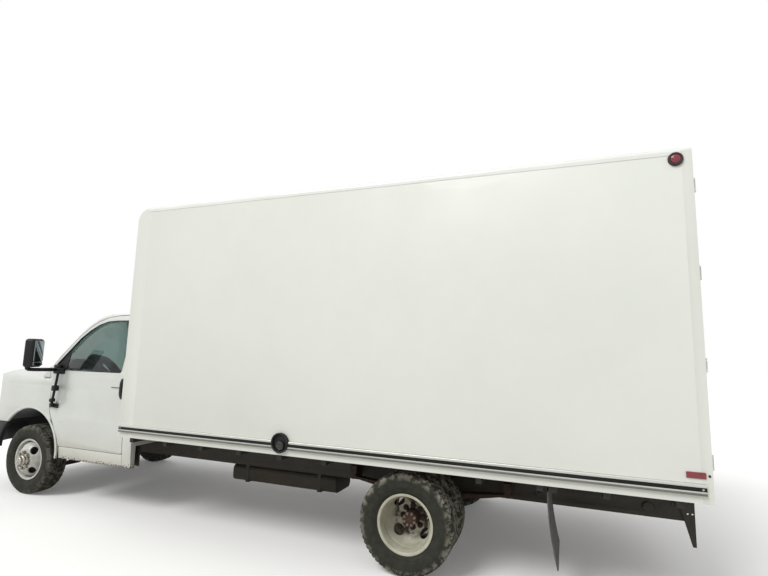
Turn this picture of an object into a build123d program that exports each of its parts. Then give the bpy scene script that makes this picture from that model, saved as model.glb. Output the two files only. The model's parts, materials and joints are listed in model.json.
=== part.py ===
from build123d import *
import math
import os

os.makedirs("parts", exist_ok=True)

# Axes: +X ahead, +Y to the driver's (left) side, +Z up. The ground is Z = 0.

# Driving dimensions of the running gear, millimetres
wheelbase = 4496.0
front_overhang = 940.0
tyre_radius = 372.0
tyre_width = 225.0
bead_radius = 203.0
rim_half_width = 83.0
rim_lip = 6.0
rim_lip_radius = 221.0
rim_wall = 7.0
wheel_offset = 136.0
disc_wall = 11.0
front_track_half = 871.0
running_clearance = 0.5
moving_gap = 6.0
door_gap = 8.0
wing_gap = 12.0
seat_gap = 0.4

# Driving dimensions of the load box
axle_to_box = 1600.0
box_length = 4877.0
box_width = 2438.0
box_bottom = 790.0
box_top = 3059.0
wall = 38.0
roof_wall = 50.0
nose_depth = 190.0
nose_top_radius = 140.0
roof_edge_radius = 28.0
floor_thickness = 40.0
floor_top = 855.0
frame_post = 58.0
frame_depth = 62.0
rear_door_thickness = 40.0

# Driving dimensions of the ladder frame
frame_half = 430.0
frame_bottom = 460.0
frame_height = 190.0
rail_web = 8.0
rail_flange = 65.0
frame_front = 600.0
tail_beyond_box = 48.0

# Driving dimensions of the cab, stations measured ahead of the front axle
cab_back = -1550.0
door_rear = -1424.0
cab_half = 1006.0
sill_half = 985.0
sill_bottom = 436.0
door_bottom = 566.0
waist_height = 900.0
belt_half = 985.0
belt_height = 1365.0
eave_half = 884.0
eave_height = 1932.0
roof_side_half = 800.0
roof_side_height = 2008.0
roof_crown = 2045.0
panel = 30.0
door_thickness = 100.0
door_frame = 48.0
arch_radius = 465.0
arch_height = 470.0

# Worked-out places
hanger_rear = axle_to_box + box_length + tail_beyond_box
overall_rear = hanger_rear
front_axle_x = (overall_rear - front_overhang) / 2
rear_axle_x = front_axle_x - wheelbase
box_front_x = front_axle_x - axle_to_box
box_rear_x = box_front_x - box_length
box_half = box_width / 2
outer_dual_y = 1043.0
mount_plane_y = outer_dual_y - wheel_offset
inner_dual_y = mount_plane_y - wheel_offset
frame_top = frame_bottom + frame_height
floor_bottom = floor_top - floor_thickness


def fore(distance):
    """X of a station a given distance ahead of the front axle."""
    return front_axle_x + distance


def side_plane(y):
    """Side-view plane at one Y: local x runs ahead and local y runs up."""
    return Plane(origin=(0, y, 0), x_dir=(1, 0, 0), z_dir=(0, -1, 0))


def block(x, y, z, mode=Mode.ADD):
    """Add a box that fills three (low, high) spans to the open part."""
    with Locations(((x[0] + x[1]) / 2, (y[0] + y[1]) / 2, (z[0] + z[1]) / 2)):
        Box(x[1] - x[0], y[1] - y[0], z[1] - z[0], mode=mode)


def keep(name, piece):
    """Label one finished piece and write it as parts/NAME.step."""
    piece.part.label = name
    export_step(piece.part, f"parts/{name}.step")


def keep_pair(name, left):
    """Write a left-hand piece and its mirror image on the right."""
    keep(f"{name}_left", left)
    with BuildPart() as right:
        mirror(left.part, about=Plane.XZ)
    keep(f"{name}_right", right)


def keep_both(name, left):
    """Write a left-hand piece and its mirror image as one node."""
    with BuildPart() as both:
        add(left.part)
        mirror(left.part, about=Plane.XZ)
    keep(name, both)


def spin_axis(axle_x):
    """The axis that a wheel at one axle turns about."""
    return Axis((axle_x, 0, tyre_radius), (0, 1, 0))


def wheel_plane(axle_x):
    """Half-section plane of a wheel: local x is Y and local y the radius."""
    return Plane(origin=(axle_x, 0, tyre_radius), x_dir=(0, 1, 0), z_dir=(1, 0, 0))


# Tyres: half section of tread, shoulder, sidewall and bead

tyre_points = (
    # share of half width, radius
    (0.80, tyre_radius),
    (1.0, tyre_radius - 62),
    (0.93, rim_lip_radius + 30),
    (0.70, bead_radius),
)


def tyre_ring(axle_x, centre):
    """One tyre about its axle, added to the open part."""
    half = tyre_width / 2
    outline = [(centre + share * half, radius) for share, radius in tyre_points]
    outline += [(centre - share * half, radius) for share, radius in reversed(tyre_points)]
    with BuildSketch(wheel_plane(axle_x)) as section:
        with BuildLine():
            Polyline(*outline, close=True)
        make_face()
    revolve(section.sketch, axis=spin_axis(axle_x))


with BuildPart() as front_tyre:
    tyre_ring(front_axle_x, front_track_half)
keep_pair("front_tyre", front_tyre)

with BuildPart() as rear_tyres:
    tyre_ring(rear_axle_x, outer_dual_y)
    tyre_ring(rear_axle_x, inner_dual_y)
keep_pair("rear_tyres", rear_tyres)


# Steel wheels: a dropped rim and a bowl-shaped disc with four hand holes

well_half = 30.0
well_radius = 184.0
disc_outline = (
    # distance from the rim's centre towards the mounting face, radius
    (26.0, well_radius - 3),
    (98.0, 171.0),
    (wheel_offset, 128.0),
    (wheel_offset, 50.0),
    (wheel_offset - disc_wall, 50.0),
    (wheel_offset - disc_wall, 121.0),
    (90.0, 161.0),
    (14.0, well_radius - 3),
)
hand_hole_circle = 146.0
hand_hole_size = (66.0, 44.0)
hand_holes = 4


def steel_wheel(axle_x, centre, toward):
    """A rim and its disc; toward is the side (+1 or -1) that the disc bulges to."""
    edge = rim_half_width + rim_lip
    seat = bead_radius - seat_gap
    rim = (
        (-edge, rim_lip_radius), (-rim_half_width, seat), (-well_half - 12, seat - 2),
        (-well_half, well_radius),
        (well_half, well_radius), (well_half + 12, seat - 2), (rim_half_width, seat), (edge, rim_lip_radius),
        (edge, rim_lip_radius - rim_wall), (rim_half_width, seat - rim_wall),
        (well_half + 12, seat - rim_wall - 2),
        (well_half, well_radius - rim_wall), (-well_half, well_radius - rim_wall),
        (-well_half - 12, seat - rim_wall - 2), (-rim_half_width, seat - rim_wall),
        (-edge, rim_lip_radius - rim_wall),
    )
    with BuildSketch(wheel_plane(axle_x)) as section:
        with BuildLine():
            Polyline(*[(centre + u, r) for u, r in rim], close=True)
        make_face()
        with BuildLine():
            Polyline(*[(centre + toward * u, r) for u, r in disc_outline], close=True)
        make_face()
    revolve(section.sketch, axis=spin_axis(axle_x))
    hole_middle = centre + toward * (wheel_offset - 30)
    hole_plane = Plane(origin=(axle_x, hole_middle, tyre_radius), x_dir=(1, 0, 0), z_dir=(0, 1, 0))
    with BuildSketch(hole_plane) as holes:
        with PolarLocations(hand_hole_circle, hand_holes, start_angle=45):
            SlotOverall(hand_hole_size[0], hand_hole_size[1], rotation=90)
    extrude(holes.sketch, amount=40, both=True, mode=Mode.SUBTRACT)


def barrel(axle_x, y, radius, mode=Mode.ADD):
    """A plain cylinder about the axle over a (low, high) span of Y."""
    with BuildSketch(Plane(origin=(axle_x, y[0], tyre_radius), x_dir=(1, 0, 0), z_dir=(0, 1, 0))) as disc:
        Circle(radius)
    extrude(disc.sketch, amount=y[1] - y[0], mode=mode)


spindle_radius = 28.0
kingpin_y = 800.0
knuckle_half = 32.0
front_nave_y = front_track_half + wheel_offset

with BuildPart() as front_wheel:
    steel_wheel(front_axle_x, front_track_half, 1)
    barrel(front_axle_x, (front_nave_y - disc_wall - 30, front_nave_y - disc_wall), 96)
    barrel(front_axle_x, (front_nave_y - 110, front_nave_y + 34), 56)
    barrel(front_axle_x, (front_nave_y + 34, front_nave_y + 46), 40)
    barrel(front_axle_x, (front_nave_y - 98, front_nave_y - 74), 150)
    barrel(front_axle_x, (front_nave_y - 110, front_nave_y + 12), spindle_radius + running_clearance,
           Mode.SUBTRACT)
keep_pair("front_wheel", front_wheel)

axle_tube_radius = 50.0
drum_radius = 148.0
drum_inner_y = 700.0

with BuildPart() as rear_wheels:
    steel_wheel(rear_axle_x, outer_dual_y, -1)
    steel_wheel(rear_axle_x, inner_dual_y, 1)
    barrel(rear_axle_x, (drum_inner_y, mount_plane_y - disc_wall), drum_radius)
    barrel(rear_axle_x, (mount_plane_y - disc_wall, mount_plane_y + 92), 60)
    barrel(rear_axle_x, (mount_plane_y + 92, mount_plane_y + 112), 74)
    barrel(rear_axle_x, (drum_inner_y, mount_plane_y - 60), axle_tube_radius + running_clearance,
           Mode.SUBTRACT)
keep_pair("rear_wheels", rear_wheels)


# Knuckles: an upright post on the kingpin axis with the wheel's spindle

knuckle_low = 262.0
knuckle_high = 486.0
stud_radius = 12.0

with BuildPart() as knuckle:
    block((front_axle_x - 38, front_axle_x + 38), (kingpin_y - knuckle_half, kingpin_y + knuckle_half),
          (knuckle_low, knuckle_high))
    barrel(front_axle_x, (kingpin_y + knuckle_half - 4, front_nave_y + 6), spindle_radius)
    with BuildSketch(Plane.XY.offset(knuckle_low)):
        with Locations((front_axle_x, kingpin_y)):
            Circle(stud_radius + running_clearance)
    extrude(amount=knuckle_high - knuckle_low, mode=Mode.SUBTRACT)
    block((front_axle_x - 6, front_axle_x + 6), (kingpin_y + 20, kingpin_y + 30), (360, 384))
keep_pair("knuckle", knuckle)

# Front suspension: a cross-member under the rails and two arms a side

arm_half = 60.0
arm_thickness = 26.0

arm_low = knuckle_low - moving_gap - arm_thickness
arm_high = knuckle_high + moving_gap
arm_reach = kingpin_y + 22

with BuildPart() as front_arms:
    block((fore(-100), fore(100)), (-frame_half, frame_half), (frame_bottom - 80, frame_bottom))
    for side in (1, -1):
        block((fore(-arm_half), fore(arm_half)), sorted((side * (frame_half - 60), side * arm_reach)),
              (arm_low, arm_low + arm_thickness))
        block((fore(-arm_half), fore(arm_half)), sorted((side * (frame_half - 60), side * (frame_half - 32))),
              (arm_low, frame_bottom - 40))
        block((fore(-arm_half), fore(arm_half)), sorted((side * frame_half, side * arm_reach)),
              (arm_high, arm_high + arm_thickness))
        with BuildSketch(Plane.XY.offset(arm_low)):
            with Locations((front_axle_x, kingpin_y * side)):
                Circle(stud_radius)
        extrude(amount=arm_high + arm_thickness - arm_low)
keep("front_arms", front_arms)

# Ladder frame: two channel rails and the plates that hang from their tails

flap_station = -wheelbase - 1064.0
tube_ends = (
    # station, radius of the tube, height
    (flap_station + 133.0, 20.0, 527.0),
    (305.0 - hanger_rear, 36.0, 534.0),
)

plate_bottom = 286.0
tow_station = 30.0 - hanger_rear
tow_height = 560.0
tow_spacing = (30.0, 90.0)
tow_hole_radius = 7.0

with BuildPart() as rails:
    with BuildSketch(Plane.YZ.offset(fore(-hanger_rear + 60))):
        with BuildLine():
            Polyline(
                (frame_half, frame_bottom), (frame_half, frame_top), (frame_half - rail_flange, frame_top),
                (frame_half - rail_flange, frame_top - rail_web),
                (frame_half - rail_web, frame_top - rail_web),
                (frame_half - rail_web, frame_bottom + rail_web),
                (frame_half - rail_flange, frame_bottom + rail_web), (frame_half - rail_flange, frame_bottom),
                close=True,
            )
        make_face()
    extrude(amount=frame_front + hanger_rear - 60)
    with BuildSketch(side_plane(frame_half)):
        with BuildLine():
            Polyline(
                (fore(145 - hanger_rear), frame_top), (fore(-hanger_rear), frame_top),
                (fore(-hanger_rear), plate_bottom), (fore(23 - hanger_rear), plate_bottom),
                (fore(92 - hanger_rear), frame_top - 100), (fore(145 - hanger_rear), frame_top - 90),
                close=True,
            )
        make_face()
    extrude(amount=-12)
    for station, radius, height in tube_ends:
        with BuildSketch(side_plane(frame_half)):
            with Locations((fore(station), height)):
                Circle(radius + running_clearance)
        extrude(amount=rail_web + 5, both=True, mode=Mode.SUBTRACT)
    with BuildSketch(side_plane(frame_half)):
        with Locations((fore(tow_station), tow_height)):
            with GridLocations(tow_spacing[0], tow_spacing[1], 2, 2):
                Circle(tow_hole_radius)
    extrude(amount=20, both=True, mode=Mode.SUBTRACT)
keep_both("frame_rails", rails)

crossmembers = (
    # station, length along the truck, bottom, top
    (540.0, 90.0, 480.0, 630.0),
    (-1120.0, 120.0, 550.0, 630.0),
    (-2150.0, 90.0, 550.0, 630.0),
    (-3250.0, 90.0, 550.0, 630.0),
    (110.0 - hanger_rear, 70.0, 480.0, 590.0),
)

with BuildPart() as cross:
    inside = frame_half - rail_web
    for station, length, low, high in crossmembers:
        block((fore(station - length / 2), fore(station + length / 2)), (-inside, inside), (low, high))
    for station, radius, height in tube_ends:
        with BuildSketch(side_plane(0)):
            with Locations((fore(station), height)):
                Circle(radius)
        extrude(amount=frame_half + 14, both=True)
keep("frame_crossmembers", cross)

# Engine with gearbox behind it, one plain block

engine_half = 270.0
gearbox_tail = -1040.0
mount_reach = frame_half - 20

with BuildPart() as engine:
    block((fore(-330), fore(330)), (-engine_half, engine_half), (500, 1040))
    block((fore(110), fore(190)), (-mount_reach, mount_reach), (frame_top, frame_top + 30))
    block((fore(-460), fore(-330)), (-230, 230), (500, 900))
    block((fore(gearbox_tail), fore(-460)), (-150, 150), (460, 640))
keep("engine_block", engine)

# Propeller shaft, from the gearbox's tail to the differential's nose

pinion_reach = 184.0
flange_clearance = 2.0
shaft_front = fore(gearbox_tail) - flange_clearance
shaft_rear = rear_axle_x + pinion_reach + flange_clearance
shaft_high = 500.0
shaft_low = tyre_radius + 8
shaft_run = math.hypot(shaft_front - shaft_rear, shaft_high - shaft_low)

with BuildPart() as shaft:
    shaft_plane = Plane(origin=(shaft_rear, 0, shaft_low), x_dir=(0, 1, 0),
                        z_dir=(shaft_front - shaft_rear, 0, shaft_high - shaft_low))
    with BuildSketch(shaft_plane):
        Circle(38)
    extrude(amount=shaft_run)
keep("propeller_shaft", shaft)

# Rear axle: tube, differential housing, spring pads and brake backing plates

spring_y = 530.0
spring_half_width = 32.0
pad_top = tyre_radius + axle_tube_radius + 10

housing_outline = (
    # distance ahead of the axle, radius
    (-110.0, 0.0), (-110.0, 96.0), (-62.0, 156.0), (30.0, 156.0), (100.0, 62.0), (pinion_reach, 54.0),
    (pinion_reach, 0.0),
)

with BuildPart() as rear_axle:
    barrel(rear_axle_x, (-(mount_plane_y - 66), mount_plane_y - 66), axle_tube_radius)
    with BuildSketch(Plane(origin=(0, 0, tyre_radius), x_dir=(1, 0, 0), z_dir=(0, -1, 0))):
        with BuildLine():
            Polyline(*[(rear_axle_x + x, r) for x, r in housing_outline], close=True)
        make_face()
    revolve(axis=Axis((rear_axle_x, 0, tyre_radius), (1, 0, 0)))
    for side in (1, -1):
        block((rear_axle_x - 60, rear_axle_x + 60),
              sorted((side * (spring_y - spring_half_width), side * (spring_y + spring_half_width))),
              (tyre_radius, pad_top))
        barrel(rear_axle_x, sorted((side * (drum_inner_y - 22), side * (drum_inner_y - 8))), 156)
keep("rear_axle", rear_axle)

# Leaf springs with their eyes and the hangers that carry them on the rails

spring_half_span = 690.0
spring_rise = 78.0
spring_stack = 52.0

with BuildPart() as springs:
    with BuildSketch(side_plane(spring_y)):
        with BuildLine():
            low = ThreePointArc((rear_axle_x - spring_half_span, pad_top + spring_rise),
                                (rear_axle_x, pad_top),
                                (rear_axle_x + spring_half_span, pad_top + spring_rise))
            high = ThreePointArc((rear_axle_x + spring_half_span, pad_top + spring_rise + 14),
                                 (rear_axle_x, pad_top + spring_stack),
                                 (rear_axle_x - spring_half_span, pad_top + spring_rise + 14))
            Line(low @ 1, high @ 0)
            Line(high @ 1, low @ 0)
        make_face()
    extrude(amount=spring_half_width, both=True)
    for end in (-1, 1):
        x = rear_axle_x + end * spring_half_span
        with BuildSketch(side_plane(spring_y)):
            with Locations((x, pad_top + spring_rise + 10)):
                Circle(26)
        extrude(amount=spring_half_width, both=True)
        block((x - 34, x + 34), (frame_half, spring_y + spring_half_width),
              (pad_top + spring_rise + 30, frame_top - 40))
        block((x - 34, x + 34), (frame_half, spring_y - spring_half_width),
              (pad_top + spring_rise - 10, frame_top - 40))
keep_both("leaf_springs", springs)

# Fuel tank left of the propeller shaft, below the filler, on two straps

tank_bottom = 292.0
tank_y = (75.0, 408.0)
tank_station = (-3560.0, -2360.0)
strap_inset = 180.0

with BuildPart() as tank:
    block((fore(tank_station[0]), fore(tank_station[1])), tank_y, (tank_bottom, frame_bottom - 14))
    fillet(tank.edges().filter_by(Axis.X), radius=45)
    for station in (tank_station[0] + strap_inset, tank_station[1] - strap_inset):
        block((fore(station - 20), fore(station + 20)), (tank_y[0] - 3, tank_y[1] + 3),
              (tank_bottom - 3, frame_bottom))
keep("fuel_tank", tank)

# Exhaust on the right, ending ahead of the rear wheels

exhaust_y = -575.0
exhaust_z = 480.0
exhaust_runs = (
    # rear end, front end, width, height
    (-3560.0, -2950.0, 60.0, 60.0),
    (-2950.0, -2330.0, 224.0, 156.0),
    (-2330.0, -1600.0, 60.0, 60.0),
)

with BuildPart() as exhaust:
    for back_end, front_end, width, height in exhaust_runs:
        with BuildSketch(Plane.YZ.offset(fore(back_end))):
            with Locations((exhaust_y, exhaust_z)):
                if width > height:
                    SlotOverall(width, height)
                else:
                    Circle(width / 2)
        extrude(amount=front_end - back_end)
    for station in (-3400, -1750):
        block((fore(station - 15), fore(station + 15)), (exhaust_y - 8, -frame_half),
              (exhaust_z + 20, exhaust_z + 60))
keep("exhaust", exhaust)


# Load box: nose cap, sides, roof, floor and rear portal

side_front_x = box_front_x - nose_depth
side_rear_x = box_rear_x + frame_depth
roof_bottom = box_top - roof_wall

with BuildPart() as nose_hollow:
    block((side_front_x, box_front_x - wall), (-box_half + wall, box_half - wall), (box_bottom, roof_bottom))
    fillet(nose_hollow.faces().sort_by(Axis.Z)[-1].edges().sort_by(Axis.X)[-1],
           radius=nose_top_radius - roof_wall)

with BuildPart() as nose:
    block((side_front_x, box_front_x), (-box_half, box_half), (box_bottom, box_top))
    fillet(nose.faces().sort_by(Axis.Z)[-1].edges().sort_by(Axis.X)[-1], radius=nose_top_radius)
    fillet(nose.faces().sort_by(Axis.X)[-1].edges().filter_by(Axis.Z), radius=roof_edge_radius)
    add(nose_hollow.part, mode=Mode.SUBTRACT)
keep("box_nose", nose)

with BuildPart() as side_panel:
    block((side_rear_x, side_front_x), (box_half - wall, box_half), (box_bottom, roof_bottom))
keep_both("box_sides", side_panel)

with BuildPart() as roof:
    block((side_rear_x, side_front_x), (-box_half, box_half), (roof_bottom, box_top))
    fillet(roof.faces().sort_by(Axis.Z)[-1].edges().filter_by(Axis.X), radius=roof_edge_radius)
keep("box_roof", roof)

with BuildPart() as floor:
    block((side_rear_x, box_front_x - wall), (-box_half + wall, box_half - wall), (floor_bottom, floor_top))
keep("box_floor", floor)

sill_top = floor_bottom - 75
beam_width = 44.0
beam_pitch = 400.0
first_beam = box_front_x - 150
last_beam = box_rear_x + 177
beam_gaps = round((first_beam - last_beam) / beam_pitch)
beam_places = [first_beam - (first_beam - last_beam) * gap / beam_gaps for gap in range(beam_gaps + 1)]
beam_places.append(fore(flap_station))
wheel_clearance = 90.0
wheel_zone = (rear_axle_x - tyre_radius - wheel_clearance, rear_axle_x + tyre_radius + wheel_clearance)
short_reach = 600.0
runner_width = 60.0

with BuildPart() as bearers:
    for side in (1, -1):
        block((box_rear_x + 20, box_front_x - 100),
              sorted((side * (frame_half - runner_width), side * frame_half)),
              (frame_top, sill_top))
    for place in beam_places:
        reach = short_reach if wheel_zone[0] < place < wheel_zone[1] else box_half - wall
        block((place - beam_width / 2, place + beam_width / 2), (-reach, reach), (sill_top, floor_bottom))
keep("box_bearers", bearers)

portal_inner_y = box_half - frame_post
portal_sill = 78.0
portal_head = 96.0

with BuildPart() as portal:
    block((box_rear_x, side_rear_x), (-box_half, box_half), (box_bottom, box_top))
    fillet(portal.faces().sort_by(Axis.Z)[-1].edges().filter_by(Axis.X), radius=roof_edge_radius)
    block((box_rear_x, side_rear_x), (-portal_inner_y, portal_inner_y),
          (box_bottom + portal_sill, box_top - portal_head), Mode.SUBTRACT)

door_low = box_bottom + portal_sill + moving_gap
door_high = box_top - portal_head - moving_gap
door_edge = portal_inner_y - moving_gap
pin_x = box_rear_x - 12
pin_y = portal_inner_y - 2
hinge_end = 156.0
hinge_count = 4
hinge_heights = [door_low + hinge_end + (door_high - door_low - 2 * hinge_end) * hinge / (hinge_count - 1)
                 for hinge in range(hinge_count)]
knuckle_radius = 10.0
knuckle_reach = 28.0

with BuildPart() as portal_hinged:
    add(portal.part)
    for side in (1, -1):
        for height in hinge_heights:
            for low in (height - knuckle_reach - 16, height + knuckle_reach + 2):
                with BuildSketch(Plane.XY.offset(low)):
                    with Locations((pin_x, side * pin_y)):
                        Circle(knuckle_radius)
                extrude(amount=14)
                block((pin_x, box_rear_x + 1), sorted((side * (pin_y + 2), side * (pin_y + 38))),
                      (low, low + 14))
                block((pin_x, pin_x + 6), sorted((side * pin_y, side * (pin_y + 38))), (low, low + 14))
keep("box_rear_portal", portal_hinged)

with BuildPart() as rear_door:
    block((box_rear_x + 3, box_rear_x + 3 + rear_door_thickness), (moving_gap / 2, door_edge),
          (door_low, door_high))
keep_pair("rear_door", rear_door)

rod_y = 170.0
rod_keepers = 4
keeper_end = 75.0
handle_low = door_low + 386
with BuildPart() as lock_rod:
    with BuildSketch(Plane.XY.offset(door_low + 20)):
        with Locations((box_rear_x - 14, rod_y)):
            Circle(13)
    extrude(amount=door_high - door_low - 40)
    for keeper in range(rod_keepers):
        height = door_low + keeper_end + (door_high - door_low - 2 * keeper_end) * keeper / (rod_keepers - 1)
        block((box_rear_x - 20, box_rear_x + 3), (rod_y - 28, rod_y + 28), (height - 25, height + 25))
    block((box_rear_x - 26, box_rear_x - 14), (rod_y, rod_y + 330), (handle_low, handle_low + 32))
    for height in hinge_heights:
        block((box_rear_x - 4, box_rear_x + 3), (door_edge - 260, door_edge - 6), (height - 28, height + 28))
        with BuildSketch(Plane.XY.offset(height - knuckle_reach)):
            with Locations((pin_x, pin_y)):
                Circle(knuckle_radius)
        extrude(amount=2 * knuckle_reach)
        block((pin_x, box_rear_x - 4), (door_edge - 20, pin_y), (height - 28, height + 28))
keep_pair("rear_door_gear", lock_rod)

# Rub rails with their dark inserts, and the fuel filler cup

rail_low = box_bottom + 48
rail_high = rail_low + 70
rail_stand = 21.0
insert_low = rail_low + 26
insert_high = insert_low + 24
insert_depth = 12.0
rail_edge = 5.0
rail_front_x = box_front_x - 35
rail_rear_x = box_rear_x + 40
filler_station = -3437.0
filler_height = rail_low + 53
filler_radius = 82.0
filler_rim = 12.0
filler_cap_radius = 34.0
filler_depth = 30.0

rail_face = box_half + rail_stand

with BuildPart() as rub_rail:
    with BuildSketch(Plane.YZ.offset(rail_rear_x)):
        with BuildLine():
            Polyline(
                (box_half, rail_low), (rail_face - rail_edge, rail_low), (rail_face, rail_low + rail_edge),
                (rail_face, insert_low), (rail_face - insert_depth, insert_low),
                (rail_face - insert_depth, insert_high), (rail_face, insert_high),
                (rail_face, rail_high - rail_edge), (rail_face - rail_edge, rail_high), (box_half, rail_high),
                close=True,
            )
        make_face()
    extrude(amount=rail_front_x - rail_rear_x)
    with BuildSketch(side_plane(box_half)):
        with Locations((fore(filler_station), filler_height)):
            Circle(filler_radius + running_clearance)
    extrude(amount=-2 * filler_depth, mode=Mode.SUBTRACT)
keep_both("rub_rails", rub_rail)

with BuildPart() as insert:
    block((rail_rear_x, rail_front_x), (rail_face - insert_depth, rail_face - 2), (insert_low, insert_high))
    with BuildSketch(side_plane(box_half)):
        with Locations((fore(filler_station), filler_height)):
            Circle(filler_radius + running_clearance)
    extrude(amount=-2 * filler_depth, mode=Mode.SUBTRACT)
keep_both("rub_rail_inserts", insert)

with BuildPart() as filler:
    with BuildSketch(side_plane(box_half)):
        with Locations((fore(filler_station), filler_height)):
            Circle(filler_radius)
    extrude(amount=-filler_depth)
    with BuildSketch(side_plane(box_half + 6)):
        with Locations((fore(filler_station), filler_height)):
            Circle(filler_radius - filler_rim)
            Circle(filler_cap_radius, mode=Mode.SUBTRACT)
    extrude(amount=-filler_depth, mode=Mode.SUBTRACT)
keep("fuel_filler", filler)

# Red marker lamps, side reflectors and tail lamps

marker_x = box_rear_x + 97
marker_z = box_top - 82
marker_radius = 47.0
marker_lens = 31.0
marker_base = 14.0
reflector_x = (box_rear_x + 37, box_rear_x + 143)
reflector_z = (rail_high + 28, rail_high + 66)

with BuildPart() as side_lamps:
    with BuildSketch(side_plane(box_half)):
        with Locations((marker_x, marker_z)):
            Circle(marker_radius)
    extrude(amount=-marker_base)
    with BuildSketch(side_plane(box_half + marker_base)):
        with Locations((marker_x, marker_z)):
            Circle(marker_lens)
    extrude(amount=-10)
    block(reflector_x, (box_half, box_half + 7), reflector_z)
keep_both("side_lamps", side_lamps)

with BuildPart() as tail_lamps:
    for side in (1, -1):
        for y in (1000.0, 860.0):
            with BuildSketch(Plane.YZ.offset(box_rear_x)):
                with Locations((side * y, box_bottom + portal_sill / 2)):
                    SlotOverall(120, 56)
            extrude(amount=-10)
    for y in (-150.0, 0.0, 150.0):
        with BuildSketch(Plane.YZ.offset(box_rear_x)):
            with Locations((y, box_top - portal_head / 2)):
                Circle(30)
        extrude(amount=-14)
keep("tail_lamps", tail_lamps)

# Mud flaps behind the rear wheels, each hung from a bearer

flap_low = 245.0

with BuildPart() as mud_flap:
    with BuildSketch(side_plane(905)):
        with BuildLine():
            foot = flap_station - 8
            outer = ThreePointArc((fore(flap_station), sill_top), (fore(flap_station + 40), 500),
                                  (fore(foot), flap_low))
            inner = ThreePointArc((fore(foot + 10), flap_low), (fore(flap_station + 50), 500),
                                  (fore(flap_station + 12), sill_top))
            Line(outer @ 1, inner @ 0)
            Line(inner @ 1, outer @ 0)
        make_face()
    extrude(amount=255, both=True)
keep_both("mud_flaps", mud_flap)


# Cab: body section, greenhouse and side-view outlines

screen_foot = -10.0
screen_foot_height = 1395.0
nose_top = screen_foot_height + 3
screen_slope = math.radians(45.5)
screen_bow = 3300.0
screen_straight = 645.0
header_radius = 900.0
header_slope = math.radians(5)
pillar_foot = screen_foot_height - 105


def body_half(inset):
    """Half of the cab's cross-section, drawn inside its skin by an inset."""
    with BuildLine() as outline:
        Line((0, sill_bottom), (sill_half - inset, sill_bottom))
        ThreePointArc((sill_half - inset, sill_bottom), (cab_half - inset, waist_height),
                      (belt_half - inset, belt_height))
        Line((belt_half - inset, belt_height), (eave_half - inset, eave_height))
        ThreePointArc((eave_half - inset, eave_height),
                      ((eave_half + roof_side_half) / 2 + 14 - inset * 0.8,
                       (eave_height + roof_side_height) / 2 + 14
                       - inset * 0.8), (roof_side_half - inset * 0.5, roof_side_height - inset))
        ThreePointArc((roof_side_half - inset * 0.5, roof_side_height - inset),
                      (roof_side_half / 2, roof_crown - 10 - inset), (0, roof_crown - inset))
        Line((0, roof_crown - inset), (0, sill_bottom))
    make_face(outline.edges())


def screen_body(inset):
    """The bowed screen with its curved header, turned about a line along the slope far below it."""
    along = (-math.cos(screen_slope), 0, math.sin(screen_slope))
    inward = (-math.sin(screen_slope), 0, -math.cos(screen_slope))
    centre = (fore(screen_foot) + inward[0] * screen_bow, 0, screen_foot_height + inward[2] * screen_bow)
    bend = screen_slope - header_slope
    crown = screen_bow - inset
    radius = header_radius - inset
    end = (screen_straight + radius * math.sin(bend), crown - radius * (1 - math.cos(bend)))
    middle = (screen_straight + radius * math.sin(bend / 2), crown - radius * (1 - math.cos(bend / 2)))
    tail = (end[0] + 2500 * math.cos(bend), end[1] - 2500 * math.sin(bend))
    with BuildPart() as shape:
        with BuildSketch(Plane(origin=centre, x_dir=along, z_dir=(0, -1, 0))) as side:
            with BuildLine():
                Line((-2500, 0), (-2500, crown))
                Line((-2500, crown), (screen_straight, crown))
                ThreePointArc((screen_straight, crown), middle, end)
                Line(end, tail)
                Line(tail, (tail[0], 0))
                Line((tail[0], 0), (-2500, 0))
            make_face()
        revolve(side.sketch, axis=Axis(centre, along))
    return shape.part


def greenhouse(inset):
    """The cab above its belt: the body's section, cut by the bowed screen and its header."""
    with BuildPart() as shape:
        with BuildSketch(Plane.YZ.offset(fore(cab_back) + (inset if inset > 0 else 0))):
            body_half(inset)
        extrude(amount=-cab_back + 400)
        mirror(about=Plane.XZ)
        block((fore(cab_back) - 10, fore(600)), (-1100, 1100), (0, pillar_foot), Mode.SUBTRACT)
        add(screen_body(inset), mode=Mode.INTERSECT)
    return shape.part


def outline_prism(points, y, radius, grow=0.0):
    """A rounded side-view outline, grown by a margin, pushed through a (low, high) span of Y."""
    with BuildPart() as prism:
        with BuildSketch(side_plane(y[1])):
            with BuildLine():
                FilletPolyline(*[(fore(a), b) for a, b in points], radius=radius, close=True)
            make_face()
            if grow:
                offset(amount=grow)
        extrude(amount=y[1] - y[0])
    return prism.part


# The door's outline, then its window, as points (ahead of the axle, height)
door_front = -300.0
door_outline = (
    (door_rear, door_bottom), (-497.0, door_bottom), (-470.0, 640.0), (-330.0, 905.0), (door_front, 1180.0),
    (-225.0, screen_foot_height), (-557.0, 1748.0), (-678.0, 1842.0), (-800.0, 1914.0), (-935.0, 1962.0),
    (-1076.0, 1982.0), (door_rear, 1986.0),
)
window_outline = (
    (-1306.0, belt_height + 4), (-300.0, belt_height + 4), (-291.0, belt_height + 52), (-575.0, 1728.0),
    (-690.0, 1816.0), (-808.0, 1882.0), (-940.0, 1920.0), (-1083.0, 1930.0), (-1318.0, 1930.0),
)

door_round = 18.0
window_round = 26.0

with BuildPart() as body_bar:
    with BuildSketch(Plane.YZ.offset(fore(cab_back))):
        body_half(0)
    extrude(amount=-cab_back)

with BuildPart() as skin_ring:
    add(body_bar.part)
    with BuildSketch(Plane.YZ.offset(fore(cab_back))):
        body_half(door_frame)
    extrude(amount=-cab_back, mode=Mode.SUBTRACT)

door_step = 14.0

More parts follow.
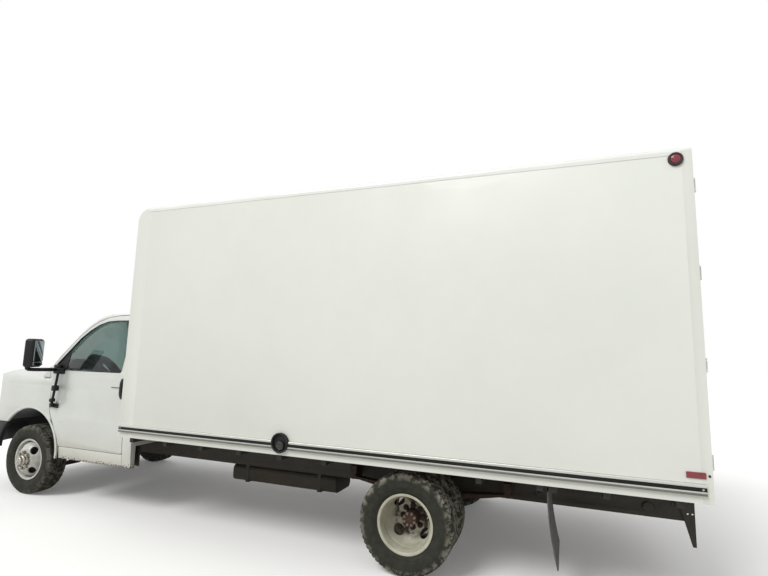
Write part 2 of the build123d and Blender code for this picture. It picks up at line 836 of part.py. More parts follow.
with BuildPart() as door_box:
    block((fore(cab_back), fore(0)), (belt_half - door_thickness, belt_half - 10),
          (sill_bottom, belt_height - 8))
    add(outline_prism(door_outline, (840, 1100), door_round, -door_step), mode=Mode.INTERSECT)

with BuildPart() as door:
    add(skin_ring.part)
    add(outline_prism(door_outline, (800, 1100), door_round), mode=Mode.INTERSECT)
    add(door_box.part)
    add(outline_prism(window_outline, (700, 1100), window_round), mode=Mode.SUBTRACT)
keep_pair("door", door)

glass_inset = 14.0
glass_thickness = 6.0
with BuildPart() as door_glass:
    with BuildSketch(Plane.YZ.offset(fore(cab_back))):
        body_half(glass_inset)
    extrude(amount=-cab_back)
    with BuildSketch(Plane.YZ.offset(fore(cab_back))):
        body_half(glass_inset + glass_thickness)
    extrude(amount=-cab_back, mode=Mode.SUBTRACT)
    add(outline_prism(window_outline, (840, 1100), window_round), mode=Mode.INTERSECT)
keep_pair("door_glass", door_glass)

# Mirror on its arm, the brace below it and the door handle

arm_station = -335.0
arm_level = belt_height + 7
arm_half = 14.0
mirror_y = (1138.0, 1345.0)
mirror_z = (arm_level + 34, arm_level + 336)
mirror_depth = 70.0
mirror_round = 34.0
stem_y = (mirror_y[1] - 66, mirror_y[1] - 30)
bracket_low = belt_height - 35
brace_y = 1050.0
brace_station = -420.0
brace_radius = 11.0
clamp_half = 26.0
foot_level = 986.0
handle_x = (fore(-1406), fore(-1318))
handle_z = (1110.0, 1316.0)

with BuildPart() as fittings:
    block((fore(arm_station - mirror_depth / 2), fore(arm_station + mirror_depth / 2)), mirror_y, mirror_z)
    fillet(fittings.edges().filter_by(Axis.X), radius=mirror_round)
    block((fore(arm_station - arm_half), fore(arm_station + arm_half)), (950, stem_y[1]),
          (arm_level - arm_half, arm_level + arm_half))
    block((fore(arm_station - arm_half), fore(arm_station + arm_half)), stem_y, (arm_level, mirror_z[0] + 10))
    block((fore(arm_station - 130), fore(arm_station + 16)), (950, belt_half + 30),
          (bracket_low, belt_height - 1))
    block((fore(arm_station - 60), fore(arm_station + 16)), (950, belt_half + 40),
          (bracket_low, arm_level + 14))
    with BuildSketch(Plane.XY.offset(foot_level + 14)):
        with Locations((fore(brace_station), brace_y)):
            Circle(brace_radius)
    extrude(amount=bracket_low + 16 - foot_level - 14)
    block((fore(brace_station - clamp_half), fore(brace_station + clamp_half)),
          (brace_y - clamp_half, brace_y + clamp_half), (foot_level + 164, foot_level + 222))
    block((fore(brace_station - 80), fore(brace_station + 68)), (950, brace_y),
          (foot_level - 20, foot_level + 20))
    block((fore(brace_station - 20), fore(brace_station + 68)), (950, brace_y + 10),
          (bracket_low, bracket_low + 24))
    block(handle_x, (950, cab_half + 26), handle_z)
    add(body_bar.part, mode=Mode.SUBTRACT)
keep_pair("door_fittings", fittings)

# Front clip: one nose shape that the hood, wings, cowl and grille panel are cut from

nose_front = 800.0
hood_half = 800.0
hood_rear = 100.0
hood_front = 752.0
hood_low = 1150.0


hood_pin_station = hood_rear - moving_gap / 2
hood_pin_height = nose_top + 2


def nose_solid(inset):
    """Front end before it is split: side profile, plan and cross-section."""
    back_x = fore(-345)
    with BuildPart() as shape:
        with BuildSketch(side_plane(0)):
            with BuildLine():
                Line((back_x, 640), (back_x, nose_top - inset))
                Line((back_x, nose_top - inset), (fore(150), nose_top - 2 - inset))
                ThreePointArc((fore(150), nose_top - 2 - inset), (fore(500), nose_top - 53 - inset),
                              (fore(720) - inset * 0.5, nose_top - 163 - inset))
                ThreePointArc((fore(720) - inset * 0.5, nose_top - 163 - inset),
                              (fore(nose_front - 22) - inset * 0.8, nose_top - 218 - inset * 0.8),
                              (fore(nose_front) - inset, 1080))
                Line((fore(nose_front) - inset, 1080), (fore(nose_front - 40) - inset, 640))
                Line((fore(nose_front - 40) - inset, 640), (back_x, 640))
            make_face()
        extrude(amount=1100, both=True)
        with BuildSketch(Plane.XY.offset(600)):
            with BuildLine():
                Line((back_x, 0), (fore(nose_front) - inset, 0))
                ThreePointArc((fore(nose_front) - inset, 0), (fore(nose_front - 32) - inset, 500),
                              (fore(690) - inset, 880 - inset * 0.4))
                ThreePointArc((fore(690) - inset, 880 - inset * 0.4),
                              (fore(610) - inset * 0.7, 965 - inset * 0.7), (fore(470), cab_half - inset))
                Line((fore(470), cab_half - inset), (back_x, cab_half - inset))
                Line((back_x, cab_half - inset), (back_x, 0))
            make_face()
            mirror(about=Plane.XZ)
        extrude(amount=900, mode=Mode.INTERSECT)
        with BuildSketch(Plane.YZ.offset(back_x)):
            with BuildLine():
                Line((0, 600), (990 - inset, 600))
                ThreePointArc((990 - inset, 600), (cab_half - inset, 900), (990 - inset, 1200))
                ThreePointArc((990 - inset, 1200), (955 - inset * 0.8, nose_top - 100 - inset * 0.6),
                              (870 - inset * 0.3, nose_top - 52 - inset))
                ThreePointArc((870 - inset * 0.3, nose_top - 52 - inset), (450, nose_top - 10 - inset),
                              (0, nose_top - inset))
                Line((0, nose_top - inset), (0, 600))
            make_face()
            mirror(about=Plane.YZ)
        extrude(amount=1300, mode=Mode.INTERSECT)
    return shape.part


# Roof panel with its screen pillars

screen_region = (
    # along the slope from the foot, half width
    (40.0, 862.0), (770.0, 765.0),
)


def screen_prism():
    """The windscreen's outline pushed through the bowed screen."""
    along = (-math.cos(screen_slope), 0, math.sin(screen_slope))
    plane = Plane(origin=(fore(screen_foot), 0, screen_foot_height), x_dir=(0, 1, 0),
                  z_dir=(math.sin(screen_slope), 0, math.cos(screen_slope)))
    up_sign = 1 if plane.y_dir.Z > 0 else -1
    (low, low_half), (high, high_half) = screen_region
    with BuildPart() as prism:
        with BuildSketch(plane):
            with BuildLine():
                FilletPolyline((-low_half, up_sign * low), (low_half, up_sign * low),
                               (high_half, up_sign * high),
                               (-high_half, up_sign * high), radius=60, close=True)
            make_face()
        extrude(amount=260, both=True)
    return prism.part


hoop_top = 1960.0
screen_rail = 100.0
screen_cut = screen_prism()
nose_block = nose_solid(0)

with BuildPart() as cab_top:
    add(greenhouse(0))
    add(greenhouse(panel), mode=Mode.SUBTRACT)
    add(nose_block, mode=Mode.SUBTRACT)
    add(screen_cut, mode=Mode.SUBTRACT)
    for span in ((700, 1100), (-1100, -700)):
        add(outline_prism(door_outline, span, door_round, door_gap), mode=Mode.SUBTRACT)
    block((fore(cab_back) - 10, fore(door_rear)), (-1100, 1100), (pillar_foot, hoop_top), Mode.SUBTRACT)
    block((fore(screen_foot - screen_rail), fore(screen_foot) + 50), (-hood_half, hood_half),
          (pillar_foot, 1500), Mode.SUBTRACT)
keep("cab_roof", cab_top)

with BuildPart() as screen:
    add(greenhouse(8))
    add(greenhouse(14), mode=Mode.SUBTRACT)
    add(screen_cut, mode=Mode.INTERSECT)
    add(nose_block, mode=Mode.SUBTRACT)
keep("windscreen", screen)

# Cab back: the rear hoop and the wall that closes it

floor_level = frame_top
hoop_wall = 46.0
back_wall = 24.0
floor_plate = 30.0

with BuildPart() as back:
    with BuildSketch(Plane.YZ.offset(fore(cab_back))):
        body_half(0)
    extrude(amount=door_rear - door_gap - cab_back)
    with BuildSketch(Plane.YZ.offset(fore(cab_back) + back_wall)):
        body_half(hoop_wall)
    extrude(amount=door_rear - cab_back, mode=Mode.SUBTRACT)
    mirror(about=Plane.XZ)
    block((fore(cab_back) - 10, fore(0)), (-1100, 1100), (hoop_top, 2100), Mode.SUBTRACT)
    block((fore(door_rear - door_gap - 7), fore(0)), (-1100, 1100), (belt_height, 2100), Mode.SUBTRACT)
    block((fore(cab_back) - 10, fore(0)), (hoop_wall - sill_half, sill_half - hoop_wall),
          (sill_bottom - 10, floor_level),
          Mode.SUBTRACT)
keep("cab_back", back)

# Cab floor: plate, step risers, toe board round the wheel arches, engine cover

floor_half = 872.0
step_plate = 20.0
toe_station = -345.0
liner_radius = arch_radius + 4
liner_wall = 6.0
toe_radius = liner_radius + liner_wall + seat_gap
toe_half = 827.0
cover_half = 290.0
cover_top = 960.0
cover_station = -780.0
pillar_inner = 740.0
arch_inner = 560.0

with BuildPart() as cab_floor:
    block((fore(cab_back) + back_wall, fore(toe_station)), (-floor_half, floor_half),
          (floor_level, floor_level + floor_plate))
    for side in (1, -1):
        block((fore(cab_back) + back_wall, fore(-toe_radius - 20)),
              sorted((side * (floor_half - step_plate), side * floor_half)), (sill_bottom, floor_level))
    block((fore(toe_station - step_plate), fore(toe_station)), (-toe_half, toe_half),
          (floor_level, nose_top - 53))
    with BuildSketch(side_plane(0)) as toe:
        with Locations((front_axle_x, arch_height)):
            Circle(toe_radius + step_plate)
    extrude(toe.sketch, amount=toe_half, both=True)
    block((fore(toe_station), fore(900)), (-1100, 1100), (-100, 1400), Mode.SUBTRACT)
    block((fore(-900), fore(toe_station)), (-1100, 1100), (-100, sill_bottom), Mode.SUBTRACT)
    block((fore(-900), fore(toe_station)), (-arch_inner, arch_inner), (sill_bottom - 1, floor_level),
          Mode.SUBTRACT)
    with BuildSketch(side_plane(0)) as hollow:
        with Locations((front_axle_x, arch_height)):
            Circle(toe_radius)
    extrude(hollow.sketch, amount=1100, both=True, mode=Mode.SUBTRACT)
    block((fore(cover_station), fore(toe_station)), (-cover_half, cover_half), (floor_level, cover_top))
    block((fore(cover_station + 18), fore(toe_station) + 1), (18 - cover_half, cover_half - 18),
          (floor_level - 1, cover_top - 18), Mode.SUBTRACT)
    for side in (1, -1):
        block((fore(toe_station), fore(-240)), sorted((side * pillar_inner, side * (hood_half - 2))),
              (900, 1310))
keep("cab_floor", cab_floor)

# Wheel arch liners, between the wings and the engine bay

with BuildPart() as liner:
    with BuildSketch(side_plane(arch_inner)):
        with Locations((front_axle_x, arch_height)):
            Circle(liner_radius + liner_wall)
            Circle(liner_radius, mode=Mode.SUBTRACT)
    extrude(amount=-(cab_half - 30 - arch_inner))
    block((fore(-600), fore(600)), (0, 1100), (-100, arch_height), Mode.SUBTRACT)
    block((fore(330), fore(600)), (0, 1100), (-100, 790), Mode.SUBTRACT)
keep_both("wheel_liners", liner)

with BuildPart() as sill:
    with BuildSketch(Plane.YZ.offset(fore(door_rear - moving_gap))):
        with BuildLine():
            Polyline((sill_half, sill_bottom), (cab_half - 9, door_bottom - moving_gap),
                     (floor_half, door_bottom - moving_gap), (floor_half, sill_bottom), close=True)
        make_face()
    extrude(amount=-505 - door_rear + moving_gap)
keep_both("sills", sill)

# Dashboard, steering column and seats

wheel_tilt = math.radians(32)
steer_centre = (fore(-690), 430.0, 1170.0)

steer_plane = Plane(origin=steer_centre, x_dir=(0, 1, 0),
                    z_dir=(-math.cos(wheel_tilt), 0, math.sin(wheel_tilt)))
steer_shaft = 90.0
steer_ring = 190.0
steer_grip = 16.0
column_radius = 34.0

with BuildPart() as dash:
    with BuildSketch(side_plane(0)):
        with BuildLine():
            Polyline((fore(toe_station - step_plate), nose_top - 54), (fore(-480), 1330),
                     (fore(-590), 1250), (fore(-570), 1020),
                     (fore(toe_station - step_plate), 980), close=True)
        make_face()
    extrude(amount=toe_half - 4, both=True)
    with BuildSketch(steer_plane.offset(-steer_shaft - running_clearance)):
        Circle(column_radius)
    extrude(amount=-80)
keep("dashboard", dash)

with BuildPart() as steer:
    with Locations(steer_plane.location):
        Cylinder(58, 40)
        Box(370, 34, 16)
    with BuildSketch(Plane(origin=steer_centre, x_dir=(0, 1, 0),
                           z_dir=(-math.sin(wheel_tilt), 0, -math.cos(wheel_tilt)))):
        with Locations((steer_ring, 0)):
            RegularPolygon(steer_grip, 8)
    revolve(axis=Axis(steer_centre, (-math.cos(wheel_tilt), 0, math.sin(wheel_tilt))))
    with BuildSketch(steer_plane.offset(-20)):
        Circle(20)
    extrude(amount=20 - steer_shaft)
keep("steering_wheel", steer)

with BuildPart() as seats:
    for y in (430.0, -430.0):
        block((fore(-1330), fore(-840)), (y - 240, y + 240), (floor_level + 190, floor_level + 340))
        with BuildSketch(side_plane(y)):
            with BuildLine():
                Polyline((fore(-1290), floor_level + 300), (fore(-1190), floor_level + 300),
                         (fore(-1290), 1480),
                         (fore(-1300), 1620), (fore(-1400), 1620), (fore(-1400), 1480), close=True)
            make_face()
        extrude(amount=225, both=True)
        block((fore(-1290), fore(-880)), (y - 200, y + 200), (floor_level + 30, floor_level + 191))
keep("seats", seats)

# Hood, wings and grille panel, cut from the nose skin

skin = 24.0
panel_rear = 606.0
panel_bottom = 764.0

with BuildPart() as clip:
    add(nose_block)
    add(nose_solid(skin), mode=Mode.SUBTRACT)

hood_pin_y = 300.0
hood_pin = 3.0
hood_knuckle = 7.0
knuckle_half = 18.0
lug_width = 18.0
lug_gap = 4.0
leaf_reach = 45.0


def hood_space(grow):
    """The shut hood's width, and the arc that its front edge swings on, grown by a gap."""
    with BuildPart() as space:
        with BuildSketch(side_plane(0)) as swing:
            with Locations((fore(hood_pin_station), hood_pin_height)):
                Circle(hood_front - hood_pin_station + grow)
        extrude(swing.sketch, amount=hood_half + grow, both=True)
        block((fore(hood_rear) - grow, fore(nose_front)), (-1100, 1100), (hood_low - grow, 1500),
              Mode.INTERSECT)
    return space.part


def hinge_barrel(y, radius):
    """A round bar on the hood's hinge axis through a (low, high) span of Y."""
    with BuildPart() as barrel:
        with BuildSketch(side_plane(y[1])) as ring:
            with Locations((fore(hood_pin_station), hood_pin_height)):
                Circle(radius)
        extrude(ring.sketch, amount=y[1] - y[0])
    return barrel.part


hinge_inner = knuckle_half + lug_gap
hinge_outer = hinge_inner + lug_width
leaf_z = (hood_pin_height - 10, hood_pin_height + 1)
notch = hood_knuckle + moving_gap
lug_spans = [
    sorted((y + turn * hinge_inner, y + turn * hinge_outer))
    for y in (-hood_pin_y, hood_pin_y) for turn in (-1, 1)
]

with BuildPart() as hood:
    add(clip.part)
    add(hood_space(0), mode=Mode.INTERSECT)
    for low, high in lug_spans:
        block((fore(hood_pin_station), fore(hood_pin_station + notch)), (low - lug_gap, high + lug_gap),
              (hood_low, 1500), Mode.SUBTRACT)
    for y in (-hood_pin_y, hood_pin_y):
        span = (y - knuckle_half, y + knuckle_half)
        block((fore(hood_pin_station), fore(hood_pin_station + leaf_reach)), span, leaf_z)
        add(hinge_barrel(span, hood_knuckle))
        add(hinge_barrel(span, hood_pin + running_clearance), mode=Mode.SUBTRACT)
keep("hood", hood)

with BuildPart() as wing:
    add(clip.part)
    block((fore(toe_station), fore(panel_rear) - seat_gap), (hood_half + moving_gap, 1100), (600, 1500),
          Mode.INTERSECT)
    with BuildSketch(side_plane(1100)):
        with Locations((front_axle_x, arch_height)):
            Circle(arch_radius)
    extrude(amount=400, mode=Mode.SUBTRACT)
    add(outline_prism(door_outline, (700, 1100), door_round, wing_gap), mode=Mode.SUBTRACT)
    block((fore(345), fore(700)), (700, 1100), (600, panel_bottom), Mode.SUBTRACT)
keep_both("wings", wing)

lamp_y = (640.0, 905.0)
lamp_z = (930.0, 1110.0)
grille_y = 610.0
grille_z = (850.0, 1120.0)
grille_bars = 7
grille_posts = 5
bar_half = 9.0
post_half = 10.0
lens_inset = 3.0
lamp_depth = 60.0

with BuildPart() as front_panel:
    add(clip.part)
    block((fore(panel_rear), fore(900)), (-1100, 1100), (panel_bottom, 1500), Mode.INTERSECT)
    add(hood_space(moving_gap), mode=Mode.SUBTRACT)
    block((fore(600), fore(900)), (-grille_y, grille_y), grille_z, Mode.SUBTRACT)
    for side in (1, -1):
        block((fore(500), fore(900)), sorted((side * lamp_y[0], side * lamp_y[1])), lamp_z, Mode.SUBTRACT)
keep("front_panel", front_panel)

with BuildPart() as lamp_skin:
    add(nose_solid(lens_inset))
    add(nose_solid(lens_inset + lamp_depth), mode=Mode.SUBTRACT)

with BuildPart() as grille:
    reach = grille_y - seat_gap
    low = grille_z[0] + seat_gap
    high = grille_z[1] - seat_gap
    for bar in range(grille_bars):
        level = low + bar_half + (high - low - 2 * bar_half) * bar / (grille_bars - 1)
        block((fore(600), fore(900)), (-reach, reach), (level - bar_half, level + bar_half))
    for post in range(grille_posts):
        y = (reach - post_half) * (2 * post / (grille_posts - 1) - 1)
        block((fore(600), fore(900)), (y - post_half, y + post_half), (low, high))
    add(lamp_skin.part, mode=Mode.INTERSECT)
keep("grille", grille)

with BuildPart() as head_lamp:
    block((fore(500), fore(900)), (lamp_y[0] + seat_gap, lamp_y[1] - seat_gap),
          (lamp_z[0] + seat_gap, lamp_z[1] - seat_gap))
    add(lamp_skin.part, mode=Mode.INTERSECT)
keep_both("head_lamps", head_lamp)

# Front bumper, bent round the corners, on its two brackets

with BuildPart() as bumper:
    with BuildSketch(Plane.XY.offset(476)):
        with BuildLine():
            ThreePointArc((fore(360), 1000), (fore(690), 950), (fore(880), 700))
            ThreePointArc((fore(880), 700), (fore(front_overhang - 12), 350), (fore(front_overhang), 0))
            Line((fore(front_overhang), 0), (fore(front_overhang - 60), 0))
            ThreePointArc((fore(front_overhang - 60), 0), (fore(front_overhang - 72), 350), (fore(830), 670))
            ThreePointArc((fore(830), 670), (fore(655), 900), (fore(360), 960))
            Line((fore(360), 960), (fore(360), 1000))
        make_face()
        mirror(about=Plane.XZ)
    extrude(amount=280)
    with BuildSketch(side_plane(0)) as arch:
        with Locations((front_axle_x, arch_height)):
            Circle(arch_radius)
    extrude(arch.sketch, amount=1100, both=True, mode=Mode.SUBTRACT)
    for side in (1, -1):
        block((fore(frame_front), fore(front_overhang - 66)), sorted((side * 380, side * frame_half)),
              (520, 620))
keep("front_bumper", bumper)

# Cowl between the hood and the windscreen

with BuildPart() as cowl:
    add(clip.part)
    block((fore(toe_station), fore(hood_rear - moving_gap)), (-hood_half, hood_half), (1300, 1500),
          Mode.INTERSECT)
    for y in (-hood_pin_y, hood_pin_y):
        span = (y - knuckle_half - lug_gap, y + knuckle_half + lug_gap)
        block((fore(hood_pin_station - notch), fore(hood_pin_station)), span, (1300, 1500), Mode.SUBTRACT)
        add(hinge_barrel((y - hinge_outer, y + hinge_outer), hood_pin))
    for span in lug_spans:
        block((fore(hood_pin_station - leaf_reach), fore(hood_pin_station)), span, leaf_z)
        add(hinge_barrel(span, hood_knuckle))
keep("cowl", cowl)
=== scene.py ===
import json
import math

import bmesh
import bpy
import numpy as np
from mathutils import Matrix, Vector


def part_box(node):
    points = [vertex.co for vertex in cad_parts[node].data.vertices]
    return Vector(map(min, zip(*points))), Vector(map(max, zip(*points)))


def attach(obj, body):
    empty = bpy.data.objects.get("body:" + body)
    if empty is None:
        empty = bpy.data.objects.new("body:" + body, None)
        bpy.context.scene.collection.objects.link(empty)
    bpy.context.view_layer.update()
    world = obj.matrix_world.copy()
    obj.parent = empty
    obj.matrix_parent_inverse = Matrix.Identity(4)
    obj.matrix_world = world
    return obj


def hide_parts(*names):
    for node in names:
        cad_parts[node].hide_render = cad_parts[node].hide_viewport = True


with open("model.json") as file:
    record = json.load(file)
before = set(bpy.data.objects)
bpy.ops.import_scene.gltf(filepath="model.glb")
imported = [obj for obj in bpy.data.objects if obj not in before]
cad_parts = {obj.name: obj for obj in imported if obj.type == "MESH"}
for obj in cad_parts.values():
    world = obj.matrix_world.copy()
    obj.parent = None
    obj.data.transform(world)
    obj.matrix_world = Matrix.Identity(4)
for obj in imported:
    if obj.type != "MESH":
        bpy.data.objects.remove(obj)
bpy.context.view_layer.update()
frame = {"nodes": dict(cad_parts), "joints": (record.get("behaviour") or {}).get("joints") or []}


# The camera stands at the truck's left side, between the axles, and looks back and a little up.
# Its place is measured from the front axle on the ground, and its lens from the photograph's frame.
joint = {one["name"]: one for one in frame["joints"]}
front_axle = np.array(joint["front_wheel_left_spin"]["pos_m"]) * (1, 0, 1)
rear_axle = np.array(joint["rear_wheel_left_spin"]["pos_m"]) * (1, 0, 1)
eye_from_axle = (-5.6621, 4.7294, 1.6523)
yaw, pitch, roll = 0.3656, 0.1347, 0.0240
focal_pixels, frame_pixels = 474.8, 768

look = np.array([math.sin(yaw) * math.cos(pitch), -math.cos(yaw) * math.cos(pitch), math.sin(pitch)])
level = np.cross(look, (0, 0, 1))
level /= np.linalg.norm(level)
upright = np.cross(level, look)
right = level * math.cos(roll) + upright * math.sin(roll)
up = upright * math.cos(roll) - level * math.sin(roll)
camera = bpy.data.objects.new("view_camera", bpy.data.cameras.new("view_camera"))
camera.data.sensor_width = 36.0
camera.data.lens = focal_pixels / frame_pixels * camera.data.sensor_width
turn = np.eye(4)
turn[:3, :3] = np.column_stack([right, up, -look])
turn[:3, 3] = np.array(eye_from_axle) + (front_axle[0], 0, 0)
camera.matrix_world = Matrix(turn.tolist())
bpy.context.scene.collection.objects.link(camera)
bpy.context.scene.camera = camera


# The ladder frame, its cross-members and the bearers of the box floor: pressed steel, riveted and
# bolted, with a black waxy coat. The axles, springs and knuckles hung from it are bare castings and
# forgings, the exhaust is aluminised tube, and road dust lies on all of it.
def linear(colour):
    """The linear colour of an sRGB hex: each channel goes through the sRGB curve."""
    channels = [int(colour[i:i + 2], 16) / 255 for i in (1, 3, 5)]
    return [c / 12.92 if c <= 0.04045 else ((c + 0.055) / 1.055) ** 2.4 for c in channels] + [1.0]


def add_node(tree, kind, settings=None, links=None):
    """One shader node: settings fill its properties and sockets, links join other nodes' outputs."""
    made = tree.nodes.new("ShaderNode" + kind)
    for key, value in (settings or {}).items():
        if isinstance(key, str) and hasattr(made, key):
            setattr(made, key, value)
        else:
            made.inputs[key].default_value = value
    for key, source in (links or {}).items():
        tree.links.new(source, made.inputs[key])
    return made


speck_size = 1 / 70
speck_crowd = 0.31


def finish(name, colour, tone, roughness, patch=0.4, metallic=0.0, coat=0.0, grain=0.002, depth=0.0,
           stretch=(1, 1, 1), grime_and_shade="#6b6355", grime_and_shade_low=0.0, grime_and_shade_high=0.0, grime_and_shade_most=0.0, centre=None,
           dust_and_shade=None, dust_and_shade_from=0.0, dust_and_shade_to=1.0, dust_and_shade_most=1.0, speck=None, speck_low=0.0, speck_high=0.0,
           **shader):
    """A surface whose colour drifts to a second tone in patches; every size is in metres.

    Grime, which on the rub rails is painted shade, grows from its high height down to its low one, as far as
    its most share. About a wheel's centre, a ring takes the place of height and grows from one radius to
    another: dust on the tyres, rust on the rear wheels and painted shade on the front wheels. Specks crowd
    together from speck_high down to speck_low. The fine grain gives roughness, and bump where it has a
    depth. The real grain of paint, iron and plastic is finer than a pixel, so it is drawn 1 to 4 mm wide.
    """
    made = bpy.data.materials.new(name)
    made.use_nodes = True
    tree = made.node_tree
    surface_node = tree.nodes["Principled BSDF"]
    place = add_node(tree, "TexCoord").outputs["Object"]
    stretched = add_node(tree, "Mapping", {"Scale": stretch}, {"Vector": place}).outputs[0]
    broad = add_node(tree, "TexNoise", {"Scale": 1 / patch, "Detail": 6.0, "Roughness": 0.62},
                     {"Vector": stretched}).outputs[0]
    fine = add_node(tree, "TexNoise", {"Scale": 1 / grain, "Detail": 3.0}, {"Vector": stretched}).outputs[0]
    # noise gathers round a half, so the middle of its range is stretched until patches show
    spread = add_node(tree, "MapRange", {1: 0.38, 2: 0.66}, {0: broad}).outputs[0]
    mixed = add_node(tree, "Mix", {"data_type": "RGBA", 6: linear(colour), 7: linear(tone)}, {0: spread})
    skin = mixed.outputs[2]
    share = None
    if grime_and_shade_most:
        height = add_node(tree, "SeparateXYZ", links={0: place}).outputs[2]
        rise = add_node(tree, "MapRange", {1: grime_and_shade_high, 2: grime_and_shade_low}, {0: height}).outputs[0]
        uneven = add_node(tree, "MapRange", {1: 0.3, 2: 0.7, 3: 0.25, 4: 1.0}, {0: broad}).outputs[0]
        share = add_node(tree, "Math", {"operation": "MULTIPLY"}, {0: rise, 1: uneven}).outputs[0]
        share = add_node(tree, "Math", {"operation": "MULTIPLY", 1: grime_and_shade_most}, {0: share}).outputs[0]
        skin = add_node(tree, "Mix", {"data_type": "RGBA", 7: linear(grime_and_shade)},
                        {0: share, 6: skin}).outputs[2]
    if dust_and_shade:
        moved = add_node(tree, "Mapping", {"Location": (-centre[0], 0, -centre[2]), "Scale": (1, 0, 1)},
                         {"Vector": place}).outputs[0]
        radius = add_node(tree, "VectorMath", {"operation": "LENGTH"}, {0: moved}).outputs["Value"]
        ring = add_node(tree, "MapRange", {1: dust_and_shade_from, 2: dust_and_shade_to, 4: dust_and_shade_most}, {0: radius}).outputs[0]
        uneven = add_node(tree, "MapRange", {1: 0.45, 2: 0.57, 3: 0.06, 4: 1.0}, {0: broad}).outputs[0]
        share = add_node(tree, "Math", {"operation": "MULTIPLY"}, {0: ring, 1: uneven}).outputs[0]
        skin = add_node(tree, "Mix", {"data_type": "RGBA", 7: linear(dust_and_shade)}, {0: share, 6: skin}).outputs[2]
    if speck:
        height = add_node(tree, "SeparateXYZ", links={0: place}).outputs[2]
        rise = add_node(tree, "MapRange", {1: speck_high, 2: speck_low, 4: speck_crowd},
                        {0: height}).outputs[0]
        chips = add_node(tree, "TexNoise", {"Scale": 1 / speck_size, "Detail": 5.0},
                         {"Vector": place}).outputs[0]
        crowd = add_node(tree, "Math", {"operation": "ADD"}, {0: chips, 1: rise}).outputs[0]
        chip = add_node(tree, "MapRange", {1: 0.72, 2: 0.76}, {0: crowd}).outputs[0]
        skin = add_node(tree, "Mix", {"data_type": "RGBA", 7: linear(speck)}, {0: chip, 6: skin}).outputs[2]
    rough = add_node(tree, "MapRange", {1: 0.3, 2: 0.7, 3: roughness * 0.85, 4: min(1.0, roughness * 1.2)},
                     {0: fine}).outputs[0]
    if share is not None:
        rough = add_node(tree, "Mix", {"data_type": "FLOAT", 3: 0.9}, {0: share, 2: rough}).outputs[0]
    tree.links.new(skin, surface_node.inputs["Base Color"])
    tree.links.new(rough, surface_node.inputs["Roughness"])
    surface_node.inputs["Metallic"].default_value = metallic
    surface_node.inputs["Coat Weight"].default_value = coat
    for socket, value in shader.items():
        surface_node.inputs[socket.replace("_", " ")].default_value = value
    if depth:
        bump = add_node(tree, "Bump", {"Strength": 1.0, "Distance": depth}, {"Height": fine}).outputs[0]
        tree.links.new(bump, surface_node.inputs["Normal"])
    return made


def dress(names, material, edge=0.002, smooth=32.0):
    """Give CAD nodes a finish and rounded edges; their triangles are joined by modifiers only."""
    for name in names:
        cad_piece = frame["nodes"][name]
        cad_piece.data.materials.clear()
        cad_piece.data.materials.append(material)
        cad_piece.data.polygons.foreach_set("use_smooth", [True] * len(cad_piece.data.polygons))
        weld = cad_piece.modifiers.new("joined", "WELD")
        weld.merge_threshold = 1e-5
        flat = cad_piece.modifiers.new("flat", "DECIMATE")
        flat.decimate_type = "DISSOLVE"
        flat.angle_limit = math.radians(0.6)
        rounded_edge = cad_piece.modifiers.new("edges", "BEVEL")
        rounded_edge.width = edge
        rounded_edge.segments = 2
        rounded_edge.limit_method = "ANGLE"
        rounded_edge.angle_limit = math.radians(smooth)
        rounded_edge.harden_normals = True


# Cold wax over black paint: a soft, low sheen that goes brown where dust has stuck to it.
chassis_paint = finish("waxed black chassis paint", "#15150f", "#26221b", 0.62, patch=0.25, grain=0.004,
                       depth=0.0006, grime_and_shade="#4a4236", grime_and_shade_low=0.35, grime_and_shade_high=0.75, grime_and_shade_most=0.7)
dress(["frame_rails", "frame_crossmembers", "box_bearers", "cab_floor", "fuel_tank"], chassis_paint, 0.003)
# Bare iron rusted all over: dull red-brown, rough and pitted.
cast_iron = finish("rusted cast iron", "#2a211b", "#4a3022", 0.8, patch=0.08, grain=0.003, depth=0.0012,
                   grime_and_shade="#4a4236", grime_and_shade_low=0.2, grime_and_shade_high=0.7, grime_and_shade_most=0.5)
dress(["rear_axle", "leaf_springs", "front_arms", "knuckle_left", "knuckle_right", "engine_block",
       "propeller_shaft"], cast_iron, 0.004)
# Hot-dipped steel, heated often: a grey metal that has browned in patches.
exhaust_steel = finish("aluminised exhaust steel", "#6d675e", "#4c3a2c", 0.55, patch=0.15, metallic=0.7,
                       grain=0.003, depth=0.0004, grime_and_shade="#4a4236", grime_and_shade_low=0.3, grime_and_shade_high=0.6,
                       grime_and_shade_most=0.5)
dress(["exhaust"], exhaust_steel)


# Radial tyres: black rubber with four grooves round the tread and blocks cut across its shoulders.
# The sidewall bulges over the rim, and grey dust sticks in patches round the shoulder.
def surface(points, wrap_rows=False, wrap_columns=False):
    """A grid of points, rows by columns, with quads between neighbours; a wrapped direction closes."""
    rows, columns = points.shape[:2]
    row, column = np.meshgrid(np.arange(rows - (not wrap_rows)), np.arange(columns - (not wrap_columns)),
                              indexing="ij")
    here, below, beside = row * columns, (row + 1) % rows * columns, (column + 1) % columns
    faces = np.stack([here + column, here + beside, below + beside, below + column], axis=-1)
    return points.reshape(-1, 3), faces.reshape(-1, 4)


